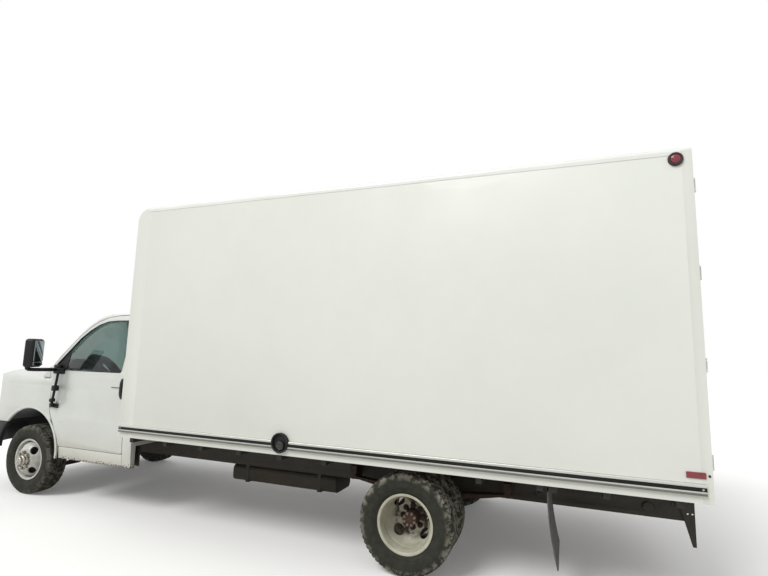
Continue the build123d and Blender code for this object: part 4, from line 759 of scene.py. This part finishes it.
ring_outline = [(-0.004, 0.030), (0.012, 0.030), (0.016, 0.036), (0.014, 0.045), (-0.004, 0.0475)]
lens_radius, lens_stand, lens_dome = 0.031, 0.010, 0.008
reflector_screw_outline = [(0, 0), (0, 0.008), (0.004, 0.007), (0.005, 0)]
marker = np.array([front_axle[0] - 6.380, box_side, 2.977])
reflector_x, reflector_z = ahead(-6.440, -6.334), (0.936, 0.974)
# Moulded rubber, reddened by its lens: soft near-black with no shine.
ring_rubber = finish("black lamp ring rubber", "#22191a", "#2d2021", 0.6, patch=0.05)
# Injection-moulded acrylic: deep red, glossy, its ribs faintly rippled.
red_lens = finish("red lens plastic", "#861826", "#6c101d", 0.22, patch=0.03, grain=0.006, depth=0.0015,
                  coat=0.6)
dome = [(lens_stand + lens_dome * math.sin(a), lens_radius * math.cos(a))
        for a in np.linspace(0, np.pi / 2, 10)]
for side, sign in sides:
    place = marker * (1, sign, 1)
    piece(f"marker_ring_{side}", [turned(softened(ring_outline, 0.003, 3), place, 64, sign)], ring_rubber,
          "chassis")
    reflector_y = sorted((sign * (box_side - 0.002), sign * (box_side + 0.008)))
    lens = [turned([(-0.004, 0.0), (-0.004, lens_radius)] + dome, place, 48, sign, closed=False),
            slab([reflector_x, reflector_y, reflector_z], 0.004)]
    piece(f"side_lenses_{side}", lens, red_lens, "chassis")
    screw_place = (reflector_x[0] - 0.018, sign * box_side, 0.955)
    screw = turned(reflector_screw_outline, screw_place, 16, sign, closed=False)
    piece(f"reflector_screw_{side}", [screw], ring_rubber, "chassis")
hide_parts("side_lamps")


# Tail lamps: sealed oval lamps, two at each end of the portal's sill, and three round markers in its
# head, each pressed into a black rubber grommet.
def slot(half_straight, radius):
    """Points (across, up) of a slot: two half circles, a straight run apart."""
    arc = np.linspace(-np.pi / 2, np.pi / 2, 15)
    half = np.stack([half_straight + radius * np.cos(arc), radius * np.sin(arc)], axis=1)
    return np.vstack([half, -half])


tail_low, tail_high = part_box("tail_lamps")
# each lamp's Y and Z, then half its straight run, its radius and how far it stands out
tail_places = [(sign * y, tail_low[2] + 0.028, 0.032, 0.028, 0.010)
               for sign in (1, -1) for y in (1.000, 0.860)]
tail_places += [(y, tail_high[2] - 0.030, 0.0, 0.030, 0.014) for y in (-0.150, 0.0, 0.150)]
lenses, grommets = [], []
for y, z, half_straight, radius, stand in tail_places:
    rows = []
    for back, inner in ((-0.002, 0.006), (stand * 0.6, 0.006), (stand * 0.85, 0.009), (stand * 0.97, 0.015),
                        (stand, radius - 0.001)):
        loop = slot(half_straight, radius - inner)
        rows.append(np.stack([np.full(len(loop), box_rear - back), y + loop[:, 0], z + loop[:, 1]], axis=1))
    lenses.append(surface(np.stack(rows), wrap_columns=True))
    loop = slot(half_straight, radius - 0.004)
    path = np.stack([np.full(len(loop), box_rear - 0.002), y + loop[:, 0], z + loop[:, 1]], axis=1)
    grommets.append(sweep(path, bar(0.009, 0.008, 0.003), across=(1, 0, 0), closed=True))
piece("tail_lenses", lenses, red_lens, "chassis", ["tail_lamps"])
piece("tail_grommets", grommets, ring_rubber, "chassis")


# The cab's outer panels: pressed steel in white enamel, cream with road dirt low down and chipped to
# rust specks along the sill. The wheel arches end in a rolled lip, and behind each arch a narrow foot
# of the wing runs down to the sill.
arch_radius, arch_height, cab_half = 0.465, 0.470, 1.006
lip_outline = [(-0.006, -0.014), (0.003, -0.015), (0.005, 0.004), (-0.002, 0.015), (-0.006, 0.015)]
lip_height, lip_from, lip_to = 0.030, math.radians(41), math.radians(184)
foot_low, foot_high, foot_inner, foot_outer = 0.440, 0.780, 0.985, 1.0035
foot_back = ([0.566, 0.640, 0.905], [-0.487, -0.460, -0.320])
# Baked enamel: clean white with sharp reflections, going cream where dirt has dried on.
cab_white = finish("white enamel on steel", "#d5d8d3", "#cbcec7", 0.32, patch=0.9, coat=0.5, grain=0.3,
                   depth=0.0002, grime_and_shade="#b9b09a", grime_and_shade_low=0.42, grime_and_shade_high=0.75, grime_and_shade_most=0.7,
                   speck="#3d2d20", speck_low=0.434, speck_high=0.490)
dress(["cab_roof", "cab_back", "door_left", "door_right", "sills", "wings", "front_panel", "hood"],
      cab_white, 0.006)
# Moulded ABS with a fine leather grain: charcoal, half matt.
black_plastic = finish("black grained plastic", "#1b1b1c", "#262625", 0.55, patch=0.1, grain=0.001,
                       depth=0.0002)
dress(["grille", "cowl", "wheel_liners", "dashboard", "front_bumper"], black_plastic, 0.006)
lip_radius = arch_radius + lip_height / 2 - 0.002
angle = np.linspace(lip_from, lip_to, 56)
height = np.linspace(foot_low, foot_high, 14)
arch_edge = -np.sqrt(arch_radius ** 2 - (height - arch_height) ** 2)
shut_edge = np.interp(height, *foot_back)
for side, sign in sides:
    path = np.stack([front_axle[0] + lip_radius * np.cos(angle), np.full(56, sign * (cab_half - 0.003)),
                     arch_height + lip_radius * np.sin(angle)], axis=1)
    lip = sweep(path, softened(lip_outline, 0.003, 2))
    corners = ((arch_edge, foot_inner), (arch_edge, foot_outer), (shut_edge, foot_outer),
               (shut_edge, foot_inner))
    strip = np.stack([np.stack([front_axle[0] + x, np.full(14, sign * y), height], axis=1)
                      for x, y in corners])
    closing = [surface(np.stack([strip[:2, end], strip[[3, 2], end]])) for end in (0, -1)]
    piece(f"arch_lip_{side}", [lip, surface(strip, wrap_rows=True)] + closing, cab_white, "chassis")


# Door fittings: a big black mirror on a tube arm, a brace rod with its clamp, ball and foot below it,
# and a tall black pull handle. Moulded plastic over steel, bolted to the door.
def from_axle(x, y, z):
    """A place measured ahead of the front axle."""
    return np.array([front_axle[0] + x, y, z])


# Silvered float glass: a cool grey mirror.
mirror_glass = finish("silvered mirror glass", "#8d9698", "#6f797b", 0.06, patch=0.4, metallic=1.0)
# Glass-filled nylon: deep black with a faint texture.
fitting_plastic = finish("black moulded plastic", "#0f1011", "#18191a", 0.5, patch=0.08, grain=0.0015,
                         depth=0.0003, Specular_IOR_Level=0.3)
head_pivot, head_turn = from_axle(-0.318, 1.2415, 1.557), math.radians(27)
head = turned_about([slab([(head_pivot[0] - 0.045, head_pivot[0] + 0.060), (1.143, 1.337), (1.406, 1.708)],
                          0.030, 5)], head_pivot, head_turn)
glass_x, glass_y = (head_pivot[0] - 0.051, head_pivot[0] - 0.040), (1.163, 1.322)
upper_pane, lower_pane = (1.470, 1.686), (1.426, 1.462)
glass = turned_about([slab([glass_x, glass_y, pane], 0.004) for pane in (upper_pane, lower_pane)], head_pivot,
                     head_turn)
arm = softened([from_axle(-0.345, 0.965, 1.374), from_axle(-0.325, 1.22, 1.380),
                from_axle(-0.318, 1.297, 1.386), from_axle(-0.318, 1.300, 1.43)], 0.03, 6, closed=False)
arm_section = softened([(-0.018, -0.019), (0.018, -0.019), (0.018, 0.019), (-0.018, 0.019)], 0.012, 4)
rod_top, rod_foot = from_axle(-0.430, 1.035, 1.350), from_axle(-0.400, 1.050, 1.000)
ball_outline = [(0.022 * math.sin(a), 0.022 * math.cos(a)) for a in np.linspace(-np.pi / 2, np.pi / 2, 13)]
foot = softened([from_axle(-0.450, 1.010, 0.984), from_axle(-0.425, 1.016, 0.988),
                 from_axle(-0.385, 1.034, 0.994), from_axle(-0.345, 1.016, 0.990),
                 from_axle(-0.320, 1.010, 0.984)], 0.02, 3, closed=False)
lever = softened([from_axle(-1.365, 1.000, 1.112), from_axle(-1.365, 1.022, 1.150),
                  from_axle(-1.365, 1.022, 1.276), from_axle(-1.365, 1.000, 1.314)], 0.03, 6, closed=False)
fittings = head + [
    sweep(arm, arm_section, across=(1, 0, 0)),
    slab([ahead(-0.468, -0.312), (0.965, 1.016), (1.330, 1.392)], 0.012, 4),
    slab([ahead(-0.395, -0.300), (0.955, 1.006), (1.352, 1.430)], 0.016, 4),
    sweep(np.linspace(rod_top, rod_foot, 5), circle(rod_radius), across=(1, 0, 0)),
    slab([ahead(-0.448, -0.396), (1.016, 1.072), (1.150, 1.208)], 0.008),
    slab([ahead(-0.425, -0.381), (1.026, 1.074), (1.030, 1.068)], 0.010),
    turned(ball_outline, from_axle(-0.400, 1.046, 1.000), 24, 1, closed=False),
    sweep(foot, bar(0.044, 0.014, 0.004), across=(0, 0, 1)),
    sweep(lever, bar(0.034, 0.016, 0.006), across=(1, 0, 0)),
    slab([ahead(-1.398, -1.330), (0.992, 1.004), (1.116, 1.310)], 0.006),
    slab([ahead(-1.330, -1.205), (1.0035, 1.0065), (1.219, 1.225)], 0.001, 1),
]
for side, sign in sides:
    body = f"cab_door_{side}"
    piece(f"mirror_and_handle_{side}", mirrored(fittings, sign), fitting_plastic, body,
          [f"door_fittings_{side}"], sharp=40)
    piece(f"mirror_glass_{side}", mirrored(glass, sign), mirror_glass, body)


# Window glass: green-tinted sheets, with a black rubber channel and a black corner sail pressed into
# each door's window frame.
belt_half, belt_height, eave_half, eave_height = 0.985, 1.365, 0.884, 1.932
window_outline = [(-1.306, 1.369), (-0.300, 1.369), (-0.291, 1.417), (-0.575, 1.728), (-0.690, 1.816),
                  (-0.808, 1.882), (-0.940, 1.920), (-1.083, 1.930), (-1.318, 1.930)]
sail_outline = [(-0.470, 1.370), (-0.305, 1.370), (-0.298, 1.414), (-0.470, 1.606)]
# Float glass with a green body tint: clear, and a little darker and cooler than what lies behind it.
window_glass = finish("green-tinted window glass", "#a2b5b0", "#a2b5b0", 0.02, Transmission_Weight=1.0,
                      IOR=1.45, Specular_IOR_Level=0.2)
dress(["door_glass_left", "door_glass_right", "windscreen"], window_glass, 0.0005)
# Extruded rubber: a matt black line round every pane.
seal_rubber = finish("black window rubber", "#141515", "#1c1d1d", 0.7, patch=0.1)


def on_side(outline, inset):
    """Side-view points laid on the cab's leaning side above the belt, an inset inside its skin."""
    x, z = np.array(outline).T
    lean = (belt_half - eave_half) / (eave_height - belt_height)
    return np.stack([front_axle[0] + x, belt_half - inset - lean * (z - belt_height), z], axis=1)


channel = sweep(on_side(softened(window_outline, 0.026, 5), 0.006), bar(0.010, 0.014, 0.003), closed=True)
corner = on_side(sail_outline, 0.012)
middle = np.broadcast_to(corner.mean(axis=0), corner.shape)
sail_thick = (0, 0.006, 0)
sail = surface(np.stack([middle, corner, corner - sail_thick, middle - sail_thick]), wrap_columns=True)
for side, sign in sides:
    piece(f"window_channel_{side}", mirrored([channel, sail], sign), seal_rubber, f"cab_door_{side}")


# The windscreen is bonded into its opening behind a moulded rubber edge. Two sprung wiper arms of
# black-painted steel park their blades along its foot.
screen_foot, screen_slope, screen_bow = from_axle(-0.010, 0.0, 1.395), math.radians(45.5), 3.3
screen_straight, header_bend = 0.645, 0.9
screen_outline = [(-0.862, 0.040), (0.862, 0.040), (0.765, 0.770), (-0.765, 0.770)]
blade_section = [(-0.010, -0.002), (-0.002, -0.006), (0.006, -0.006), (0.006, 0.006), (-0.002, 0.006),
                 (-0.010, 0.002)]


def on_screen(outline, lift):
    """Points (across, up the slope) laid on the bowed screen, a lift above its skin.

    Across, the skin is a circle of the bow's radius. Past the straight run its radius shrinks along a
    second circle, the header's.
    """
    across, rise = np.array(outline).T
    over = np.maximum(rise - screen_straight, 0)
    crown = screen_bow + lift - (header_bend - np.sqrt(header_bend ** 2 - over ** 2))
    out = np.sqrt(crown ** 2 - across ** 2) - screen_bow
    cos, sin = math.cos(screen_slope), math.sin(screen_slope)
    return screen_foot + np.stack([out * sin - rise * cos, across, out * cos + rise * sin], axis=1)


def divided(outline, step, closed=True):
    """The same outline with its points an even step apart."""
    corner = np.array(outline, dtype=float)
    if closed:
        corner = np.vstack([corner, corner[:1]])
    reach = np.concatenate([[0], np.cumsum(np.linalg.norm(np.diff(corner, axis=0), axis=1))])
    along = np.linspace(0, reach[-1], int(reach[-1] / step) + 2)
    points = np.stack([np.interp(along, reach, column) for column in corner.T], axis=1)
    return points[:-1] if closed else points


screen_out = (math.sin(screen_slope), 0, math.cos(screen_slope))
seal_line = on_screen(divided(softened(screen_outline, 0.06, 6), 0.02), -0.005)
seal = sweep(seal_line, bar(0.012, 0.024, 0.003), across=screen_out, closed=True)
piece("screen_seal", [seal], seal_rubber, "chassis")
# Satin paint over spring steel: black with a dim edge light.
wiper_paint = finish("satin black wiper paint", "#161717", "#222222", 0.5, patch=0.05)
wipers = []
for pivot, middle, heel, toe in (((0.560, 0.010), (0.260, 0.075), (0.560, 0.058), (-0.020, 0.092)),
                                 ((-0.120, 0.006), (-0.400, 0.072), (-0.120, 0.060), (-0.680, 0.078))):
    blade = on_screen(divided([heel, toe], 0.04, closed=False), 0.006)
    wipers.append(sweep(blade, blade_section, across=screen_out))
    bend = (pivot[0] * 0.7 + middle[0] * 0.3, 0.040)
    arm_line = on_screen(divided([pivot, bend, middle], 0.03, closed=False), 0.018)
    wipers.append(sweep(arm_line, bar(0.007, 0.016, 0.002), across=screen_out,
                        taper=np.linspace(1.3, 0.8, len(arm_line))))
    spindle = on_screen([pivot, pivot], 0.0) + np.array([(-0.004, 0, -0.012), (0.010, 0, 0.020)])
    wipers.append(sweep(spindle, circle(0.014, 16), across=(0, 1, 0)))
piece("wipers", wipers, wiper_paint, "chassis", sharp=40)


# Head lamps: a plated bowl for the main beam and an amber turn lamp beside it, in one black housing
# behind a clear moulded plastic lens that follows the nose.
def between(front, back):
    """A closed body between two grids of one shape: both faces and the rim that joins them."""
    return [surface(np.concatenate([front, back[::-1]]), wrap_rows=True),
            surface(np.stack([front[:, 0], back[:, 0]])), surface(np.stack([front[:, -1], back[:, -1]]))]


lamp_y, lamp_z, turn_lamp_y = (0.643, 0.902), (0.933, 1.107), 0.822
nose_reach, nose_bow, nose_bow_more = 0.800, 0.1213, 0.0268
bowl_y, bowl_z, bowl_half, lamp_back = 0.733, 1.020, (0.082, 0.080), 0.0575
bulb_outline = [(-0.010, 0.0), (-0.010, 0.010), (0.018, 0.009), (0.024, 0.004), (0.025, 0.0)]
lamp_across, lamp_height = np.meshgrid(np.linspace(*lamp_y, 60), np.linspace(*lamp_z, 40))


def lamp_face(sunk, sign):
    """The lamp's grid at a depth behind the nose.

    The nose falls back with the second and fourth powers of Y, and past the corner along a line.
    """
    nose = (nose_reach - nose_bow * lamp_across ** 2 - nose_bow_more * lamp_across ** 4
            - 0.45 * np.maximum(lamp_across - 0.88, 0) - 0.003)
    return np.stack([front_axle[0] + nose - sunk, sign * lamp_across, lamp_height], axis=-1)


# Hard-coated polycarbonate: clear, with one bright reflection.
lamp_clear = finish("clear lamp plastic", "#eef1f1", "#eef1f1", 0.03, Transmission_Weight=1.0, IOR=1.49)
# Aluminium vapour on plastic: a mirror-bright bowl.
lamp_plating = finish("vacuum-plated reflector", "#c9ccce", "#bfc3c6", 0.12, patch=0.1, metallic=1.0)
# Tinted acrylic: warm orange, glossy.
lamp_amber = finish("amber lens plastic", "#c26a1c", "#b05c14", 0.25, patch=0.03, grain=0.006, depth=0.001,
                    coat=0.5)
reach = np.hypot((lamp_across - bowl_y) / bowl_half[0], (lamp_height - bowl_z) / bowl_half[1])
bowl = 0.012 + 0.042 * np.sqrt(np.clip(1 - reach ** 2, 0, 1))
turn_columns = np.count_nonzero(lamp_across[0] > turn_lamp_y)
bulb_x = front_axle[0] + nose_reach - nose_bow * bowl_y ** 2 - 0.052
for side, sign in sides:
    piece(f"lamp_lens_{side}", between(lamp_face(0.0, sign), lamp_face(0.0025, sign)), lamp_clear, "chassis")
    piece(f"lamp_bowl_{side}", between(lamp_face(bowl, sign), lamp_face(lamp_back, sign)), lamp_plating,
          "chassis")
    amber = [lamp_face(sunk, sign)[:, -turn_columns:] for sunk in (0.006, 0.011)]
    piece(f"turn_lamp_{side}", between(*amber), lamp_amber, "chassis")
    bulb = facing_rear([turned(bulb_outline, (sign * bowl_y, bulb_x, bowl_z), 20, 1, closed=False)])
    piece(f"lamp_bulb_{side}", bulb, lamp_plating, "chassis")
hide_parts("head_lamps")


# The cab's inside: a moulded dashboard and steering wheel, a padded dash top with an instrument hood,
# and a trim panel with an arm rest and a pull cup clipped to each door.
def capped(rows):
    """Rows of closed loops, with the middle of the first and of the last one added as ends."""
    ends = [np.broadcast_to(rows[end].mean(axis=0), rows[:1].shape) for end in (0, -1)]
    return surface(np.concatenate([ends[0], rows, ends[1]]), wrap_columns=True)


# Moulded polypropylene with a leather grain: near-black and flat, so it stays quiet behind the glass.
interior_plastic = finish("grained charcoal interior plastic", "#131415", "#0f1011", 0.7, patch=0.3,
                          grain=0.0015, depth=0.0002, Specular_IOR_Level=0.3)
dress(["steering_wheel", "dashboard"], interior_plastic, 0.004)
steering_y, gauge_z = 0.430, 1.450
pad_profile = softened([(-0.362, 1.340), (-0.362, 1.425), (-0.430, 1.482), (-0.520, 1.486), (-0.546, 1.460),
                        (-0.548, 1.340)], 0.02, 4)
pad_y = np.linspace(-0.80, 0.80, 9)[:, None]
pad_rows = np.stack([front_axle[0] + pad_profile[:, 0] + 0 * pad_y, pad_y + 0 * pad_profile[:, 0],
                     pad_profile[:, 1] + 0 * pad_y], axis=-1)
# the instrument hood's arches: X, half their width, their rise
arches = np.array([(-0.395, 0.150, 0.060), (-0.420, 0.185, 0.095), (-0.520, 0.205, 0.112),
                   (-0.612, 0.212, 0.108), (-0.616, 0.204, 0.100), (-0.520, 0.197, 0.103),
                   (-0.430, 0.175, 0.085)])[:, :, None]
arch_angle = np.linspace(0, np.pi, 17)
arch_rows = np.stack([front_axle[0] + arches[:, 0] + 0 * arch_angle,
                      steering_y + arches[:, 1] * np.cos(arch_angle),
                      gauge_z + arches[:, 2] * np.sin(arch_angle) ** 0.6], axis=-1)
piece("dash_pad", [capped(pad_rows), surface(arch_rows, wrap_rows=True)], interior_plastic, "chassis",
      sharp=50)
trim = [slab([ahead(-1.395, -0.660), (0.786, 0.801), (0.680, 1.335)], 0.007, 3),
        slab([ahead(-1.300, -0.860), (0.738, 0.790), (1.010, 1.060)], 0.020, 5),
        slab([ahead(-1.370, -0.700), (0.768, 0.790), (0.720, 0.850)], 0.009, 3)]
for side, sign in sides:
    piece(f"door_trim_{side}", mirrored(trim, sign), interior_plastic, f"cab_door_{side}")


# Two bucket seats on black pedestals: foam pads under stretched grey cloth, with raised side bolsters,
# sewn channels across the middle and a piped edge.
def padded_form(name, shapes, most, voxel=0.008, pressure=4.0, moments=20):
    """A closed form remeshed evenly and blown up as cloth; no point moves further than most."""
    made = joined(name, shapes)
    even = made.modifiers.new("even", "REMESH")
    even.mode = "VOXEL"
    even.voxel_size = voxel
    graph = bpy.context.evaluated_depsgraph_get()
    made.data = bpy.data.meshes.new_from_object(made.evaluated_get(graph), depsgraph=graph)
    made.modifiers.clear()
    count = len(made.data.vertices)
    start = np.empty(count * 3)
    made.data.vertices.foreach_get("co", start)
    start = start.reshape(-1, 3)
    blown = start.copy()
    cloth = made.modifiers.new("cloth", "CLOTH")
    cloth.settings.use_pressure = True
    cloth.settings.uniform_pressure_force = pressure
    cloth.settings.effector_weights.gravity = 0.0
    cloth.settings.quality = 4
    for moment in range(1, moments + 1):
        bpy.context.scene.frame_set(moment)
    graph = bpy.context.evaluated_depsgraph_get()
    swollen = made.evaluated_get(graph).data
    if len(swollen.vertices) == count:
        flat = np.empty(count * 3)
        swollen.vertices.foreach_get("co", flat)
        moved = flat.reshape(-1, 3) - start
        length = np.linalg.norm(moved, axis=1, keepdims=True)
        blown = start + moved * np.minimum(1.0, most / np.maximum(length, 1e-9))
    made.modifiers.clear()
    bpy.context.scene.frame_set(1)
    return made, blown


def fill_mesh(made, points):
    """Write an array of points into a mesh, smooth its shading and add one subdivision."""
    made.data.vertices.foreach_set("co", points.ravel())
    made.data.polygons.foreach_set("use_smooth", [True] * len(made.data.polygons))
    made.data.update()
    finer = made.modifiers.new("finer", "SUBSURF")
    finer.levels = finer.render_levels = 1


def groove(distance, width, depth):
    """The depth of a sewn channel at a distance from its seam: a bell curve."""
    return depth * np.exp(-(distance / width) ** 2)


# Flat-woven polyester over foam: soft mid grey with a matt bloom at the edges.
seat_cloth = finish("grey woven seat cloth", "#3a3c3e", "#2e3032", 0.92, patch=0.25, grain=0.003,
                    depth=0.0008, Sheen_Weight=0.3)
seat_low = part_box("seats")[0]
seat_y = 0.430
pad_low = seat_low[2] + 0.162
pad_swell = 0.024
cushion_seams, back_seams = (-1.20, -1.08, -0.96), (0.22, 0.40, 0.58)
cushion_shape = slab([ahead(-1.322, -0.848), about(seat_y, 0.232), (pad_low + 0.008, pad_low + 0.128)],
                     0.045, 6)
back_tall = 0.630
back_rise = np.linspace(0, 1, 26)
back_x = front_axle[0] - 1.262 - 0.088 * back_rise
back_half = np.interp(back_rise, [0, 0.12, 0.55, 0.74, 0.84, 0.97, 1.0],
                      [0.185, 0.212, 0.205, 0.160, 0.125, 0.115, 0.080])
back_deep = np.interp(back_rise, [0, 0.1, 0.6, 0.85, 0.95, 1.0], [0.035, 0.048, 0.045, 0.038, 0.034, 0.018])
back_z = seat_low[2] + 0.300 + back_tall * back_rise
ring = softened([(-1, -1), (1, -1), (1, 1), (-1, 1)], 0.75, 7)
back_rows = np.stack([back_x[:, None] + back_deep[:, None] * ring[:, 0],
                      seat_y + back_half[:, None] * ring[:, 1], back_z[:, None] + 0 * ring[:, 0]], axis=-1)
cushion, cushion_points = padded_form("seat_cushion_left", [cushion_shape], pad_swell)
back, back_points = padded_form("seat_back_left", [capped(back_rows)], pad_swell)

across = np.abs(cushion_points[:, 1] - seat_y)
upper = np.clip((cushion_points[:, 2] - pad_low - 0.05) / 0.05, 0, 1)
bolster = 0.020 * np.clip((across - 0.13) / 0.07, 0, 1)
along = cushion_points[:, 0] - front_axle[0]
sunk = sum(groove(along - seam, 0.012, 0.007) for seam in cushion_seams) * (across < 0.15)
sunk += groove(across - 0.155, 0.010, 0.009)
cushion_points[:, 2] += upper * (bolster - sunk)
cushion_points[:, 2] = np.minimum(cushion_points[:, 2], pad_low + 0.150)

across = np.abs(back_points[:, 1] - seat_y)
rise = (back_points[:, 2] - back_z[0]) / back_tall
facing = np.clip((back_points[:, 0] - np.interp(rise, back_rise, back_x)) / 0.03, 0, 1)
bolster = 0.016 * np.clip((across - 0.13) / 0.06, 0, 1) * (rise < 0.75)
sunk = sum(groove(rise - seam, 0.02, 0.007) for seam in back_seams) * (across < 0.14)
sunk += groove(rise - 0.755, 0.02, 0.010)
sunk += groove(across - 0.145, 0.010, 0.009) * (rise < 0.72)
back_points[:, 0] += facing * (bolster - sunk)
back_points[:, 0] = np.maximum(back_points[:, 0], seat_low[0] + 0.002)

piping_x, piping_y, piping_z = ahead(-1.318, -0.850), about(seat_y, 0.226), pad_low + 0.052
edge = softened([(piping_x[i], piping_y[j], piping_z) for i, j in ((0, 0), (1, 0), (1, 1), (0, 1))], 0.05, 6)
piping = sweep(edge, circle(0.005, 8), across=(0, 0, 1), closed=True)
pedestal = [slab([ahead(-1.285, -0.885), about(seat_y, 0.195), (seat_low[2], pad_low + 0.002)], 0.012, 3),
            slab([ahead(-1.30, -0.87), about(seat_y, 0.205), about(pad_low, 0.010)], 0.004, 2)]
for at in (-0.212, 0.212):
    bracket_y = sorted((seat_y + at, seat_y + at * 0.955))
    pedestal.append(slab([ahead(-1.310, -1.250), bracket_y, (pad_low - 0.005, pad_low + 0.150)], 0.004, 3))
for side, sign in sides:
    for kind, source, points in (("cushion", cushion, cushion_points), ("back", back, back_points)):
        pad = source
        if side == "right":
            pad = bpy.data.objects.new(f"seat_{kind}_{side}", source.data.copy())
            bpy.context.scene.collection.objects.link(pad)
            pad.data.flip_normals()
        fill_mesh(pad, points * (1, sign, 1))
        pad.data.materials.clear()
        pad.data.materials.append(seat_cloth)
        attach(pad, "chassis")
    piece(f"seat_piping_{side}", mirrored([piping], sign), seal_rubber, "chassis")
    piece(f"seat_pedestal_{side}", mirrored(pedestal, sign), interior_plastic, "chassis")
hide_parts("seats")


# A plain pale floor and soft studio light; none of it belongs to the truck.
def seen_directly(tree):
    """1 where the camera sees the surface, also by way of glass or metal; 0 where it only lights others."""
    rays = add_node(tree, "LightPath")
    seen = rays.outputs["Is Camera Ray"]
    for kind in ("Is Transmission Ray", "Is Glossy Ray"):
        seen = add_node(tree, "Math", {"operation": "MAXIMUM"}, {0: seen, 1: rays.outputs[kind]}).outputs[0]
    return seen


ground_half = 60.0
ground_mesh = bpy.data.meshes.new("ground")
corners = np.array([(-1, -1), (1, -1), (1, 1), (-1, 1)]) * ground_half
ground_mesh.from_pydata([(x, y, 0.0) for x, y in corners], [], [(0, 1, 2, 3)])
ground = bpy.data.objects.new("ground", ground_mesh)
# A matt painted floor, near-white to the eye and a greyer white for the light it throws back.
pale_floor = bpy.data.materials.new("pale floor")
pale_floor.use_nodes = True
tree = pale_floor.node_tree
floor_surface = tree.nodes["Principled BSDF"]
floor_surface.inputs["Roughness"].default_value = 0.9
floor_surface.inputs["Emission Color"].default_value = linear("#ffffff")
seen = seen_directly(tree)
floor_colour = add_node(tree, "Mix", {"data_type": "RGBA", 6: linear("#b4b1ab"), 7: linear("#f2f2f0")},
                        {0: seen})
tree.links.new(floor_colour.outputs[2], floor_surface.inputs["Base Color"])
lift = add_node(tree, "Math", {"operation": "MULTIPLY", 1: 0.10}, {0: seen}).outputs[0]
tree.links.new(lift, floor_surface.inputs["Emission Strength"])
ground_mesh.materials.append(pale_floor)
bpy.context.scene.collection.objects.link(ground)

lit_strength, seen_strength = 0.69, 1.0
world = bpy.data.worlds.new("studio")
bpy.context.scene.world = world
world.use_nodes = True
tree = world.node_tree
strength = add_node(tree, "MapRange", {3: lit_strength, 4: seen_strength},
                    {0: seen_directly(tree)}).outputs[0]
tree.links.new(strength, tree.nodes["Background"].inputs["Strength"])
tree.nodes["Background"].inputs["Color"].default_value = linear("#ffffff")

key_light = bpy.data.lights.new("key", "SUN")
key_light.energy = 1.8
key_light.angle = math.radians(25)
key = bpy.data.objects.new("key", key_light)
key.rotation_euler = (math.radians(-38), math.radians(24), 0)
bpy.context.scene.collection.objects.link(key)

bpy.context.scene.view_settings.view_transform = "Standard"
